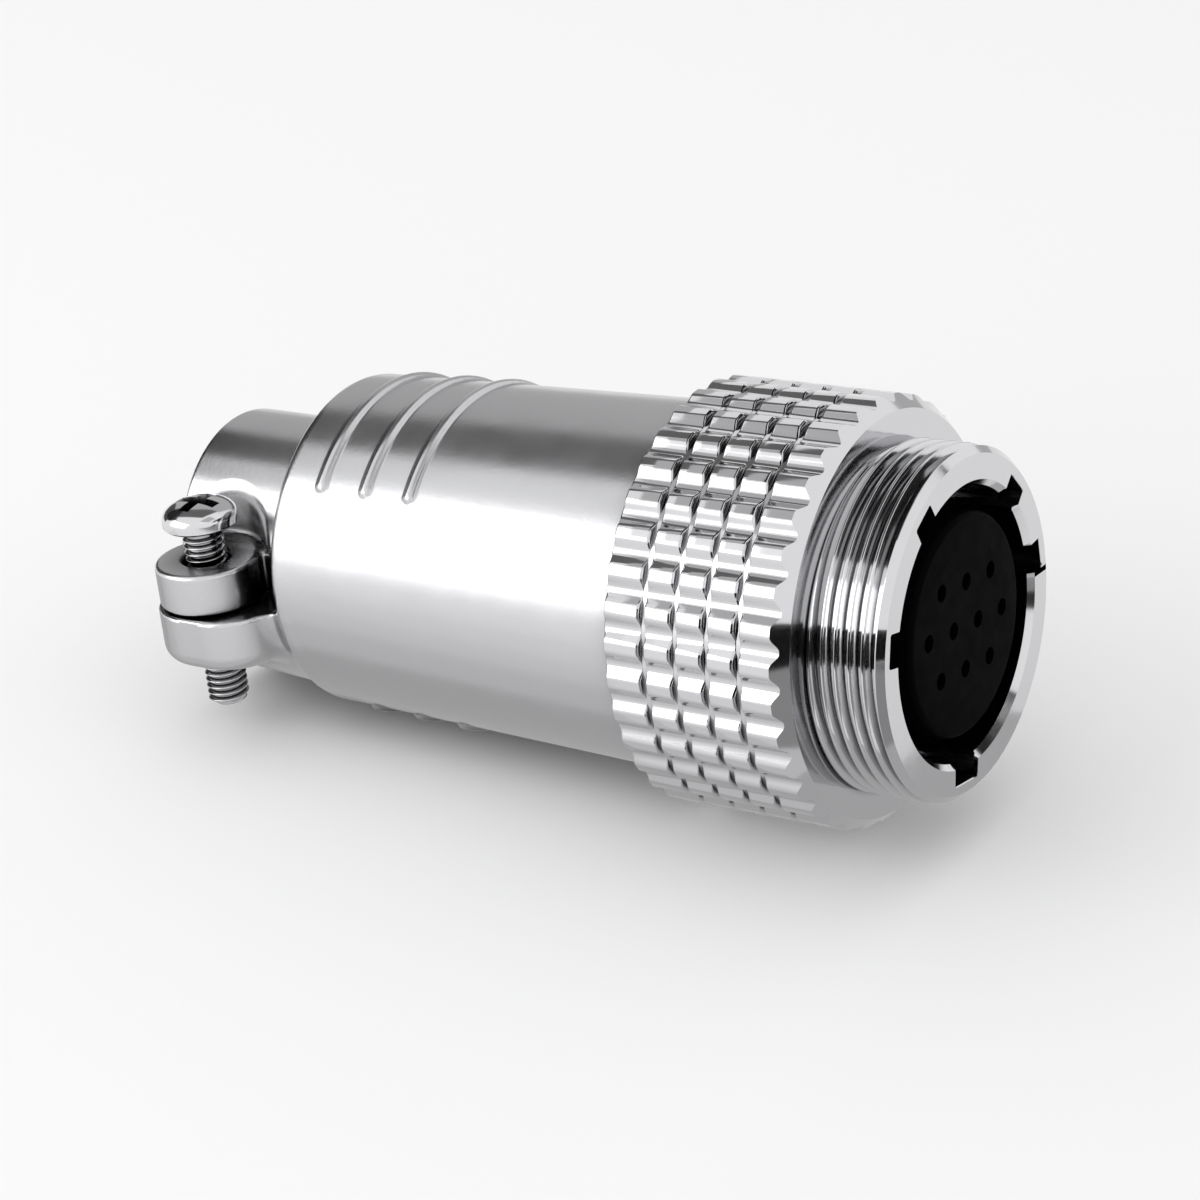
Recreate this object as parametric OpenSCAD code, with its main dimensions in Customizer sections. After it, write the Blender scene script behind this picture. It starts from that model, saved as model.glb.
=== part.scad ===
// Round cable connector with ten socket contacts.
// The origin is the middle of the front rim, +X is the mating direction and
// +Z is the side of the clamp screws' heads.

/* [Coupling thread] */
// Outside diameter of the coupling thread
thread_d = 24; // [23:0.5:27]
// Distance from one thread crest to the next
thread_pitch = 1; // [0.75:0.05:1.25]
// Length of the barrel, from its rim to the face of the grip ring
barrel_l = 5.6; // [4.8:0.1:8]
// Width of the plain relief between the thread and the grip ring
relief_w = 0.25; // [0.2:0.05:0.8]
// Lead-in chamfer on the outside of the rim
rim_chamfer = 0.45; // [0.2:0.05:0.6]

/* [Mating cavity] */
// Wall of the barrel, from the thread root to the cavity
barrel_wall = 2.05; // [1.8:0.05:2.6]
// Depth of the cavity that takes the mating half
cavity_depth = 9; // [7:0.5:11]
// Chamfer on the inside of the rim
mouth_chamfer = 0.4; // [0.2:0.05:0.5]
// Depth of the keyways in the cavity wall
keyway_depth = 1.45; // [0.8:0.05:1.6]
// Length of the keyways, from the rim
keyway_l = 6.5; // [4:0.5:7]
// Width of the four narrow keyways
keyway_w = 2.3; // [1.5:0.1:3]
// Width of the wide keyway
wide_keyway_w = 3.2; // [2.5:0.1:4.5]

/* [Grip ring] */
// Height of the grip ring over the thread
grip_over = 2.78; // [2.2:0.02:3.5]
// Length of the grip ring
grip_l = 13.9; // [12.5:0.1:18]
// Length of the front bevel
front_bevel_l = 1.6; // [0.8:0.1:2]
// Height of the front bevel
front_bevel_h = 0.9; // [0.5:0.05:1.2]
// Size of the rear bevel
rear_bevel = 0.6; // [0.3:0.1:1]
// Number of flutes along the ring
flute_count = 36; // [24:2:44]
// Width of a flute
flute_w = 1.1; // [0.6:0.1:1.4]
// Depth of a flute
flute_depth = 0.45; // [0.2:0.05:0.6]
// Number of grooves round the ring
groove_count = 4; // [2:1:4]
// Distance from one groove to the next
groove_pitch = 2.4; // [1.6:0.1:2.6]
// Distance from the front of the ring to the first groove
groove_lead = 3.55; // [2.5:0.05:4.5]
// Width of a groove
groove_w = 0.55; // [0.3:0.05:0.9]
// Depth of a groove
groove_depth = 0.5; // [0.2:0.05:0.7]

/* [Inserts] */
// Gap between the cavity wall and the nose of the front insert
sleeve_gap = 1.7; // [1.2:0.05:2]
// Setback of the nose from the rim
nose_setback = 0.2; // [0:0.1:1.5]
// Rounding of the edge of the nose
nose_round = 0.4; // [0.2:0.05:0.8]
// Shoulder in the front shell that stops the rear insert
seat_step = 1.2; // [0.8:0.05:1.6]
// Thickness of the rear insert
rear_insert_t = 4.8; // [3.5:0.1:5.4]
// How deep the front insert sits in the rear insert
insert_seat = 1.2; // [0.6:0.1:2]
// Thickness of the retaining ring
snap_t = 1; // [0.7:0.05:1.1]
// How far the retaining ring enters its groove
snap_grip = 0.7; // [0.4:0.05:1]
// How far the retaining ring reaches in over the rear insert
snap_reach = 1.3; // [0.8:0.05:1.5]
// Opening between the ends of the retaining ring, in degrees
snap_gap_deg = 34; // [20:1:60]
// Radial clearance of the inserts in the front shell
insert_clear = 0.05; // [0.02:0.01:0.1]

/* [Socket contacts] */
// Distance between neighbouring contacts
contact_pitch = 3.45; // [3:0.05:3.7]
// Turn of the rows of contacts, in degrees
contact_turn = -9.4; // [-20:0.1:20]
// Diameter of the entry holes in the nose
entry_d = 1.2; // [1.1:0.05:1.5]
// Length of the entry holes
entry_l = 1.2; // [0.8:0.1:2]
// Outside diameter of a contact
contact_d = 1.9; // [1.7:0.05:2]
// Bore of a contact, for a pin of 1.0 mm
contact_bore_d = 1.06; // [1.02:0.01:1.2]
// Depth of the bore
contact_bore_l = 7; // [5:0.5:8]
// Width of the slit that makes the contact springy
contact_slit = 0.25; // [0.15:0.05:0.35]
// Diameter of the collar that the inserts trap
collar_d = 2.6; // [2.3:0.05:2.8]
// Thickness of the collar
collar_t = 0.8; // [0.5:0.1:1.2]
// How far the contact stands out behind the rear insert
contact_tail = 4.7; // [3:0.1:7]
// Bore of the solder cup
cup_d = 1.3; // [1:0.05:1.4]
// Depth of the solder cup
cup_l = 3.5; // [2:0.1:4]
// Radial clearance of a contact in the inserts
contact_clear = 0.05; // [0.03:0.01:0.1]

/* [Back shell] */
// Step from the grip ring down to the back shell
shell_step = 1.86; // [1.2:0.02:2.2]
// Length of the back shell, from the front shell to its rear face
shell_l = 29.9; // [26:0.1:40]
// How much the back shell narrows towards its rear, on the radius
shell_taper = 0.9; // [0:0.1:1.5]
// Rounding of the rear edge
shell_round = 1.2; // [0.5:0.1:2]
// Gap between the retaining ring and the spigot inside the front shell
spigot_gap = 0.5; // [0.2:0.1:2]
// Wall of the spigot
spigot_wall = 1.1; // [0.8:0.1:2]
// Thickness of the rear wall
rear_wall = 2.4; // [1.5:0.1:4]
// Number of ribs above and below
rib_count = 3; // [1:1:4]
// Distance from one rib to the next
rib_pitch = 3.85; // [2.4:0.05:4.5]
// Distance from the rear face to the first rib
rib_lead = 3.95; // [3:0.05:6]
// Width of a rib
rib_w = 1.5; // [1:0.1:2.2]
// Height of a rib
rib_h = 0.4; // [0.2:0.05:0.5]
// Arc of the upper ribs, in degrees
upper_rib_deg = 100; // [40:2:140]
// Arc of the lower ribs, in degrees
lower_rib_deg = 68; // [40:2:120]

/* [Cable clamp] */
// Diameter of the cable that fits the clamp
cable_d = 11.6; // [9:0.1:12]
// Length of the clamp behind the back shell
clamp_l = 11; // [10:0.1:16]
// How far the parting face lies below the axis
parting_drop = 1.5; // [0.5:0.1:2.5]
// Step from the back shell down to the trough
trough_step = 0.7; // [0.3:0.05:1.5]
// How much the trough narrows towards its end, on the radius
trough_taper = 0.75; // [0:0.05:1.2]
// Rounding of the end of the trough
trough_round = 0.8; // [0.3:0.1:1.5]
// Wall of the saddle
saddle_wall = 2.55; // [1.8:0.05:3]
// Chamfer on the end of the saddle
saddle_chamfer = 0.4; // [0.2:0.05:0.8]
// Gap between the saddle and the trough
saddle_gap = 0.2; // [0.1:0.05:0.6]
// Gap between the saddle and the rear face of the back shell
saddle_setback = 0.5; // [0.3:0.05:1.5]
// Distance from the end of the clamp to the screw axes
ear_end = 4.4; // [4:0.1:5.5]
// Distance from the outside of the back shell in to the screw axes
ear_in = 1.52; // [0.8:0.02:1.7]
// Diameter of the saddle's ears
saddle_ear_d = 7.6; // [6.4:0.1:8.4]
// Height of the saddle's ears
saddle_ear_h = 3.1; // [2:0.1:4]
// Width of the web between each ear and the arch of the saddle
ear_web_w = 4; // [3:0.1:5]
// Chamfer round the top of the saddle's ears
ear_chamfer = 0.3; // [0.1:0.05:0.6]
// Diameter of the room for a screwdriver above each ear
pocket_d = 8.5; // [8:0.1:9]
// Diameter of the trough's ears
trough_ear_d = 8; // [6.8:0.1:8.8]
// Height of the trough's ears
trough_ear_h = 4.1; // [3:0.1:6]
// Rounding under the trough's ears
trough_ear_round = 1.3; // [0.5:0.1:2]

/* [Clamp screws] */
// Thread diameter of the clamp screws
screw_d = 3; // [2.5:0.1:3.5]
// Length of the clamp screws under the head
screw_l = 14; // [12:0.5:18]
// Diameter of the screw head
head_d = 5.5; // [4.8:0.1:6.5]
// Height of the screw head
head_h = 2; // [1.6:0.1:2.6]
// Height of the head's straight rim
head_rim_h = 1; // [0.5:0.1:1.3]
// How far the head stands off the ear while the clamp is loose
head_lift = 2.6; // [1:0.1:4]
// Width of the cross recess across its arms
recess_span = 3; // [2.2:0.1:3.6]
// Width of one arm of the cross recess
recess_w = 0.65; // [0.4:0.05:0.9]
// Depth of the cross recess
recess_depth = 1.2; // [0.8:0.1:1.4]
// Radial clearance of the screws in the trough's ears
tapped_clear = 0.05; // [0.02:0.01:0.1]
// Radial clearance of the screws in the saddle's ears
saddle_hole_clear = 0.2; // [0.15:0.05:0.4]

/* [Hidden] */
$fn = 72;
// Small overlap that lets a cut pass a face
eps = 0.1;
// Angles of the keyways, from +Y towards +Z, with the wide one last
keyway_deg = [4.4, 41, 117, 166, -100];
// Angle of the first flute
flute_start_deg = 7.2;
// Number of contacts in each row
row_counts = [3, 4, 3];
// Colours of the plated shells, the black moulding, the contacts and the steel parts
plated = [0.78, 0.78, 0.8];
black = [0.06, 0.06, 0.065];
gold = [0.83, 0.68, 0.38];
steel = [0.86, 0.86, 0.87];

// Coupling thread, with the standard depth for its pitch
thread_r = thread_d / 2;
thread_root_r = thread_r - 0.6134 * thread_pitch;
thread_half_mouth = 0.42 * thread_pitch;
thread_half_root = 0.1 * thread_pitch;
thread_first = rim_chamfer + thread_half_mouth;
thread_room = barrel_l - relief_w - thread_first - thread_half_mouth;
thread_last = floor(thread_room / thread_pitch + 0.001);

// Front shell
cavity_r = thread_root_r - barrel_wall;
seat_r = cavity_r + seat_step;
grip_r = thread_r + grip_over;
front_l = barrel_l + grip_l;

// Inserts and retaining ring, from front to rear
nose_r = cavity_r - sleeve_gap;
nose_rear_x = -cavity_depth - insert_seat;
rear_insert_r = seat_r - insert_clear;
rear_insert_x = -cavity_depth;
snap_x = rear_insert_x - rear_insert_t;
snap_outer_r = seat_r + snap_grip;
snap_inner_r = seat_r - snap_reach;

// Socket contacts
contact_r = contact_d / 2;
contact_front_x = -nose_setback - entry_l;
contact_rear_x = snap_x - contact_tail;
contact_points = [
    for (row = [0 : len(row_counts) - 1])
        for (k = [0 : row_counts[row] - 1])
            [
                (k - (row_counts[row] - 1) / 2) * contact_pitch,
                (row - (len(row_counts) - 1) / 2) * contact_pitch * sin(60)
            ]
];
contact_count = len(contact_points);

// Back shell
shell_front_x = -front_l;
shell_rear_x = shell_front_x - shell_l;
shell_front_r = grip_r - shell_step;
shell_rear_r = shell_front_r - shell_taper;
spigot_r = seat_r - insert_clear;
spigot_x = snap_x - snap_t - spigot_gap;
wire_r = spigot_r - spigot_wall;
rib_curve_r = (rib_w * rib_w / 4 + rib_h * rib_h) / (2 * rib_h);

// Cable clamp
cable_r = cable_d / 2;
clamp_end_x = shell_rear_x - clamp_l;
parting_z = -parting_drop;
trough_front_r = shell_rear_r - trough_step;
trough_end_r = trough_front_r - trough_taper;
saddle_r = cable_r + saddle_wall;
saddle_bottom_z = parting_z + saddle_gap;
saddle_ear_z = saddle_bottom_z + saddle_ear_h;
screw_x = clamp_end_x + ear_end;
screw_y = shell_rear_r - ear_in;
screw_r = screw_d / 2;
head_z = saddle_ear_z + head_lift;

// Radius of the back shell's outside at a distance from its front face
function shell_r_at(back) = shell_front_r - shell_taper * back / shell_l;

// Points along an arc about a centre
function arc(centre, r, from, to, steps) = [
    for (i = [0 : steps])
        let (a = from + (to - from) * i / steps)
            centre + r * [cos(a), sin(a)]
];

// Lays a shape that was made about Z along the connector's axis: X becomes Y and Y becomes Z
module on_axis() {
    rotate([90, 0, 90]) children();
}

// Round bar along the axis between two stations
module bar(r, x_front, x_rear) {
    translate([0, 0, x_rear]) cylinder(r = r, h = x_front - x_rear);
}

// Runs its children at the place of each contact
module at_contact(i) {
    rotate(contact_turn) translate(contact_points[i]) children();
}

// Outside of the front shell: rim, thread grooves, relief, grip ring
module front_outline() {
    polygon(concat(
        [[0, 0], [thread_r - rim_chamfer, 0]],
        [
            for (k = [0 : thread_last])
                let (x = -thread_first - k * thread_pitch)
                    each [
                        [thread_r, x + thread_half_mouth],
                        [thread_root_r, x + thread_half_root],
                        [thread_root_r, x - thread_half_root],
                        [thread_r, x - thread_half_mouth]
                    ]
        ],
        [
            [thread_r, -barrel_l + relief_w],
            [thread_root_r, -barrel_l + relief_w],
            [thread_root_r, -barrel_l],
            [grip_r - front_bevel_h, -barrel_l],
            [grip_r - front_bevel_h / 3, -barrel_l - front_bevel_l / 2],
            [grip_r, -barrel_l - front_bevel_l]
        ],
        [
            for (k = [0 : groove_count - 1])
                let (x = -barrel_l - groove_lead - k * groove_pitch)
                    each [
                        [grip_r, x + groove_w / 2],
                        [grip_r - groove_depth, x + groove_w / 3],
                        [grip_r - groove_depth, x - groove_w / 3],
                        [grip_r, x - groove_w / 2]
                    ]
        ],
        [[grip_r, -front_l + rear_bevel], [grip_r - rear_bevel, -front_l], [0, -front_l]]
    ));
}

module keyway(w, deg) {
    rotate(deg)
        translate([cavity_r / 2, -w / 2, -keyway_l])
            cube([cavity_r / 2 + keyway_depth, w, keyway_l + eps]);
}

module front_shell() {
    color(plated)
        on_axis()
            difference() {
                rotate_extrude() front_outline();
                bar(cavity_r, eps, -cavity_depth - eps);
                translate([0, 0, -mouth_chamfer])
                    cylinder(r1 = cavity_r, r2 = cavity_r + mouth_chamfer + eps, h = mouth_chamfer + eps);
                bar(seat_r, rear_insert_x, -front_l - eps);
                bar(snap_outer_r + insert_clear, snap_x, snap_x - snap_t);
                for (i = [0 : len(keyway_deg) - 1])
                    keyway(i == len(keyway_deg) - 1 ? wide_keyway_w : keyway_w, keyway_deg[i]);
                for (i = [0 : flute_count - 1])
                    rotate(flute_start_deg + i * 360 / flute_count)
                        translate([grip_r - flute_depth, -flute_w / 2, -front_l - eps])
                            cube([flute_depth + eps, flute_w, grip_l + eps]);
            }
}

// Nose with its rounded edge
module insert_outline() {
    polygon(concat(
        [[0, -nose_setback]],
        arc([nose_r - nose_round, -nose_setback - nose_round], nose_round, 90, 0, 4),
        [[nose_r, nose_rear_x], [0, nose_rear_x]]
    ));
}

module insert_front() {
    color(black)
        on_axis()
            difference() {
                rotate_extrude() insert_outline();
                for (i = [0 : contact_count - 1])
                    at_contact(i) {
                        bar(entry_d / 2, eps, contact_front_x - eps);
                        bar(contact_r + contact_clear, contact_front_x, nose_rear_x - eps);
                        bar(collar_d / 2 + contact_clear, nose_rear_x + collar_t, nose_rear_x - eps);
                    }
            }
}

module insert_rear() {
    color(black)
        on_axis()
            difference() {
                bar(rear_insert_r, rear_insert_x, snap_x);
                bar(nose_r + insert_clear, rear_insert_x + eps, nose_rear_x);
                for (i = [0 : contact_count - 1])
                    at_contact(i)
                        bar(contact_r + contact_clear, nose_rear_x + eps, snap_x - eps);
            }
}

module retaining_ring() {
    color(steel)
        on_axis()
            rotate(90 + snap_gap_deg / 2)
                rotate_extrude(angle = 360 - snap_gap_deg)
                    translate([snap_inner_r, snap_x - snap_t])
                        square([snap_outer_r - snap_inner_r, snap_t]);
}

// One contact: slit socket in front, trapped collar, open solder cup behind
module socket_contact(i) {
    color(gold)
        on_axis()
            at_contact(i)
                difference() {
                    union() {
                        bar(contact_r, contact_front_x, contact_rear_x);
                        bar(collar_d / 2, nose_rear_x + collar_t, nose_rear_x);
                    }
                    bar(contact_bore_d / 2, contact_front_x + eps, contact_front_x - contact_bore_l);
                    translate([-contact_slit / 2, -contact_r - eps, contact_front_x - contact_bore_l])
                        cube([contact_slit, contact_d + 2 * eps, contact_bore_l + eps]);
                    bar(cup_d / 2, contact_rear_x + cup_l, contact_rear_x - eps);
                    translate([-contact_r - eps, contact_r / 4, contact_rear_x - eps])
                        cube([contact_d + 2 * eps, contact_r, cup_l / 2 + eps]);
                }
}

// Outside of the back shell: spigot, tapered body and rounded rear edge
module shell_outline() {
    polygon(concat(
        [[0, spigot_x], [spigot_r, spigot_x]],
        [[spigot_r, shell_front_x], [shell_front_r, shell_front_x]],
        arc([shell_rear_r - shell_round, shell_rear_x + shell_round], shell_round, 0, -90, 6),
        [[0, shell_rear_x]]
    ));
}

// One rib: a bead along an arc of the shell
module rib(back, middle_deg, span_deg) {
    translate([0, 0, shell_front_x - back])
        rotate(middle_deg - span_deg / 2)
            rotate_extrude(angle = span_deg)
                translate([shell_r_at(back) + rib_h - rib_curve_r, 0])
                    circle(r = rib_curve_r);
}

// Outside of the trough before its upper part is taken away
module trough_outline() {
    polygon(concat(
        [[0, shell_rear_x + rear_wall / 2], [trough_front_r, shell_rear_x + rear_wall / 2]],
        [[trough_front_r, shell_rear_x]],
        arc([trough_end_r - trough_round, clamp_end_x + trough_round], trough_round, 0, -90, 4),
        [[0, clamp_end_x]]
    ));
}

// Ear of the trough, rounded underneath
module trough_ear() {
    translate([0, 0, parting_z])
        rotate_extrude()
            polygon(concat(
                [[0, 0], [trough_ear_d / 2, 0]],
                arc(
                    [trough_ear_d / 2 - trough_ear_round, -trough_ear_h + trough_ear_round],
                    trough_ear_round, 0, -90, 5
                ),
                [[0, -trough_ear_h]]
            ));
}

module back_shell() {
    color(plated)
        difference() {
            union() {
                on_axis() {
                    rotate_extrude() shell_outline();
                    for (k = [0 : rib_count - 1]) {
                        rib(shell_l - rib_lead - k * rib_pitch, 90, upper_rib_deg);
                        rib(shell_l - rib_lead - k * rib_pitch, -90, lower_rib_deg);
                    }
                }
                intersection() {
                    on_axis() rotate_extrude() trough_outline();
                    translate([clamp_end_x - eps, -trough_front_r, -trough_front_r])
                        cube([clamp_l + rear_wall, 2 * trough_front_r, trough_front_r + parting_z]);
                }
                for (side = [-1, 1])
                    translate([screw_x, side * screw_y, 0]) trough_ear();
            }
            on_axis() {
                bar(wire_r, spigot_x + eps, shell_rear_x + rear_wall);
                bar(cable_r, shell_rear_x + rear_wall + eps, clamp_end_x - eps);
            }
            for (side = [-1, 1])
                translate([screw_x, side * screw_y, parting_z - trough_front_r])
                    cylinder(r = screw_r + tapped_clear, h = trough_front_r + eps);
        }
}

// Arch of the saddle before its lower part is taken away
module saddle_outline() {
    polygon([
        [0, shell_rear_x - saddle_setback],
        [saddle_r - saddle_chamfer, shell_rear_x - saddle_setback],
        [saddle_r, shell_rear_x - saddle_setback - saddle_chamfer],
        [saddle_r, clamp_end_x + saddle_chamfer],
        [saddle_r - saddle_chamfer, clamp_end_x],
        [0, clamp_end_x]
    ]);
}

module saddle_ear() {
    translate([0, 0, saddle_bottom_z]) {
        cylinder(d = saddle_ear_d, h = saddle_ear_h - ear_chamfer);
        translate([0, 0, saddle_ear_h - ear_chamfer])
            cylinder(d1 = saddle_ear_d, d2 = saddle_ear_d - 2 * ear_chamfer, h = ear_chamfer);
    }
}

module cable_saddle() {
    color(plated)
        difference() {
            union() {
                difference() {
                    intersection() {
                        on_axis() rotate_extrude() saddle_outline();
                        translate([clamp_end_x - eps, -saddle_r - eps, saddle_bottom_z])
                            cube([clamp_l, 2 * (saddle_r + eps), saddle_r + parting_drop]);
                    }
                    for (side = [-1, 1])
                        translate([screw_x, side * screw_y, saddle_ear_z])
                            cylinder(d = pocket_d, h = saddle_r);
                }
                for (side = [-1, 1])
                    translate([screw_x, side * screw_y, 0]) saddle_ear();
                translate([screw_x - ear_web_w / 2, -screw_y, saddle_bottom_z])
                    cube([ear_web_w, 2 * screw_y, saddle_ear_h]);
            }
            on_axis() bar(cable_r, shell_rear_x, clamp_end_x - eps);
            for (side = [-1, 1])
                translate([screw_x, side * screw_y, saddle_bottom_z - eps])
                    cylinder(r = screw_r + saddle_hole_clear, h = saddle_ear_h + 2 * eps);
        }
}

// Pan head: straight rim with a low dome on it
module head_outline() {
    dome_h = head_h - head_rim_h;
    dome_r = (head_d * head_d / 4 + dome_h * dome_h) / (2 * dome_h);
    dome_deg = asin(head_d / 2 / dome_r);
    polygon(concat(
        [[0, 0], [head_d / 2, 0]],
        arc([0, head_h - dome_r], dome_r, 90 - dome_deg, 90, 6)
    ));
}

module clamp_screw(side) {
    color(steel)
        translate([screw_x, side * screw_y, head_z])
            difference() {
                union() {
                    rotate_extrude() head_outline();
                    translate([0, 0, -screw_l]) cylinder(r = screw_r, h = screw_l);
                }
                for (a = [0, 90])
                    rotate(a)
                        translate([-recess_span / 2, -recess_w / 2, head_h - recess_depth])
                            cube([recess_span, recess_w, recess_depth + eps]);
            }
}

front_shell();
insert_front();
insert_rear();
retaining_ring();
for (i = [1 : contact_count])
    socket_contact(i - 1);
back_shell();
cable_saddle();
clamp_screw(-1);  // clamp_screw_1
clamp_screw(1);  // clamp_screw_2
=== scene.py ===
"""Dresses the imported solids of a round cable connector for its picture.

The front shell, the front insert, the back shell, the saddle and the clamp screws get finer meshes
in the places of their solids. The other nodes keep their solids and get better materials.
"""

import math

import bmesh
import bpy
import numpy as np
from mathutils import Matrix, Vector


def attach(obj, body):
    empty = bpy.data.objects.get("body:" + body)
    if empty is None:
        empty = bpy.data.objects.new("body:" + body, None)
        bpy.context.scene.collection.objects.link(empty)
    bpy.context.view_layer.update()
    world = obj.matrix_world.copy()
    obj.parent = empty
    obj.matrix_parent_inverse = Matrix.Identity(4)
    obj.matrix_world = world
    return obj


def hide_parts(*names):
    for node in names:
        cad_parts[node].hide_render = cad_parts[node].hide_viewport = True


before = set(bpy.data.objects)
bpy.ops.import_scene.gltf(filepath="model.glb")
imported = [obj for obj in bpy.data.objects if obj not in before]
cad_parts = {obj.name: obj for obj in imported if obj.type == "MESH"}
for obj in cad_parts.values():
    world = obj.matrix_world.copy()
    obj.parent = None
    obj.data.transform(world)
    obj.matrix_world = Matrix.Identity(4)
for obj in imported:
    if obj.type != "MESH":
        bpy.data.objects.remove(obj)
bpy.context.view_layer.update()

bl_info = {
    "name": "Round cable connector",
    "version": (1, 0, 0),
    "blender": (4, 5, 0),
    "location": "View3D > Sidebar > Connector",
    "description": "Makes the shells, insert, clamp and screws of a round cable connector",
    "category": "Object",
}

# Sizes are worked out in millimetres and turned to metres when a mesh is made
MM = 0.001
SHARP_EDGE = math.radians(32)
# Metric thread: depth as a share of the pitch, and lean of each flank
THREAD_DEPTH = 0.6134
FLANK_ANGLE = math.radians(30)


def linear(code):
    """Linear colour of an sRGB hex value."""
    parts = [int(code[i : i + 2], 16) / 255 for i in (1, 3, 5)]
    return [c / 12.92 if c <= 0.04045 else ((c + 0.055) / 1.055) ** 2.4 for c in parts]


def length(label, text, size_mm):
    """Length property with its default given in millimetres."""
    return bpy.props.FloatProperty(
        name=label, description=text, default=size_mm * MM, min=0.0, unit="LENGTH", precision=5
    )


def turn(label, text, degrees):
    """Angle property with its default given in degrees."""
    return bpy.props.FloatProperty(
        name=label, description=text, default=math.radians(degrees), subtype="ANGLE"
    )


def count(label, text, number):
    """Whole-number property."""
    return bpy.props.IntProperty(name=label, description=text, default=number, min=1)


def colour(label, text, code):
    """Colour property with its default given as an sRGB hex value."""
    return bpy.props.FloatVectorProperty(
        name=label, description=text, default=linear(code), subtype="COLOR", size=3, min=0.0, max=1.0
    )


class FrontShellSizes(bpy.types.PropertyGroup):
    """Threaded barrel, grip ring and insert."""

    thread_d: length("Thread diameter", "Outside diameter of the coupling thread", 24)
    thread_pitch: length("Thread pitch", "Distance from crest to crest", 1)
    barrel_l: length("Barrel length", "From the rim to the face of the grip ring", 5.6)
    cavity_d: length("Cavity diameter", "Inside diameter of the barrel", 18.674)
    keyway_depth: length("Keyway depth", "Depth of the keyways in the cavity wall", 1.45)
    keyway_l: length("Keyway length", "Length of the keyways from the rim", 6.5)
    grip_d: length("Grip diameter", "Diameter over the ridges of the grip ring", 29.56)
    grip_l: length("Grip length", "Length of the grip ring", 13.9)
    flute_depth: length("Flute depth", "Height of the ridges over the floor of the flutes", 0.45)
    ridge_w: length("Ridge width", "Width of a ridge at its foot", 2.4)
    crest_w: length("Crest width", "Width of the flat top of a ridge", 0.55)
    cone_l: length("Cone length", "Length of the cone at the front of the ring", 1.0)
    cone_h: length("Cone height", "Height of the cone at the front of the ring", 0.9)
    groove_w: length("Groove width", "Width of the grooves round the grip ring", 0.3)
    groove_ease: length("Groove rounding", "Rounding of the ridges' ends at the grooves", 0.22)
    groove_sink: length("Groove sink", "Depth of the grooves under the floor of the flutes", 0.03)
    ridge_count: count("Ridges", "Ridges round the ring", 36)
    ridge_first: turn("First ridge", "Angle of the first ridge", 2.2)
    nose_d: length("Nose diameter", "Diameter of the black insert's nose", 15.274)
    nose_setback: length("Nose setback", "How far the nose lies behind the rim", 0.2)
    contact_pitch: length("Contact pitch", "Distance between neighbouring contacts", 3.45)
    contact_turn: turn("Contact turn", "Turn of the rows of contacts", -9.4)
    entry_d: length("Entry diameter", "Diameter of the holes in the nose", 1.2)


class RearSizes(bpy.types.PropertyGroup):
    """Back shell, cable clamp and clamp screws."""

    shell_front_d: length("Shell front", "Diameter of the back shell at the grip ring", 25.84)
    shell_rear_d: length("Shell rear", "Diameter of the back shell at its rear", 24.04)
    shell_l: length("Shell length", "Length of the back shell", 29.9)
    shell_round: length("Shell rounding", "Rounding of the rear edge", 0.8)
    rib_w: length("Rib width", "Width of a rib", 1.0)
    rib_h: length("Rib height", "Height of a rib", 0.34)
    rib_fillet: length("Rib fillet", "Fillet along the foot of a rib", 0.15)
    cable_d: length("Cable diameter", "Bore of the clamp", 11.6)
    clamp_l: length("Clamp length", "Length of the clamp behind the back shell", 11)
    saddle_d: length("Saddle diameter", "Outside diameter of the saddle's arch", 16.7)
    cast_fillet: length("Cast fillet", "Fillet where the ears join the trough", 1.3)
    screw_d: length("Screw diameter", "Thread diameter of the clamp screws", 3)
    screw_pitch: length("Screw pitch", "Thread pitch of the clamp screws", 0.5)
    head_d: length("Head diameter", "Diameter of the screw head", 5.5)
    shell_grid: length("Shell grid", "Spacing of the grid that meshes the back shell", 0.3)
    saddle_grid: length("Saddle grid", "Spacing of the grid that meshes the saddle", 0.16)


class Finishes(bpy.types.PropertyGroup):
    """Colours of the connector and its stage."""

    cast_plating: colour("Cast plating", "Plating on the cast back shell and saddle", "#d2d2d4")
    turned_plating: colour("Turned plating", "Plating on the turned front shell", "#d8d8da")
    screw_plating: colour("Screw plating", "Plating on the clamp screws", "#dcdcde")
    moulding: colour("Moulding", "Black inserts", "#050506")
    gold: colour("Gold", "Socket contacts", "#e6c67c")
    spring: colour("Spring steel", "Retaining ring", "#b4b4b8")
    floor: colour("Floor", "Floor of the stage", "#f6f6f6")


def add_node(tree, kind, inputs=None, **settings):
    """Adds a node, sets its properties, then links or fills its inputs."""
    node = tree.nodes.new(kind)
    for key, value in settings.items():
        setattr(node, key, value)
    for key, value in (inputs or {}).items():
        if isinstance(value, bpy.types.NodeSocket):
            tree.links.new(value, node.inputs[key])
        else:
            node.inputs[key].default_value = value
    return node


def rgba(values):
    """Four colour values from three."""
    return (*values, 1.0)


def new_material(name):
    """Empty material, its tree and its principled shader."""
    material = bpy.data.materials.new(name)
    material.use_nodes = True
    tree = material.node_tree
    return material, tree, tree.nodes["Principled BSDF"]


def grain(tree, size_mm, detail=3.0):
    """Noise over the piece with cells of a real size."""
    place = add_node(tree, "ShaderNodeTexCoord")
    return add_node(
        tree,
        "ShaderNodeTexNoise",
        {"Vector": place.outputs["Object"], "Scale": 1 / (size_mm * MM), "Detail": detail},
    )


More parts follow.
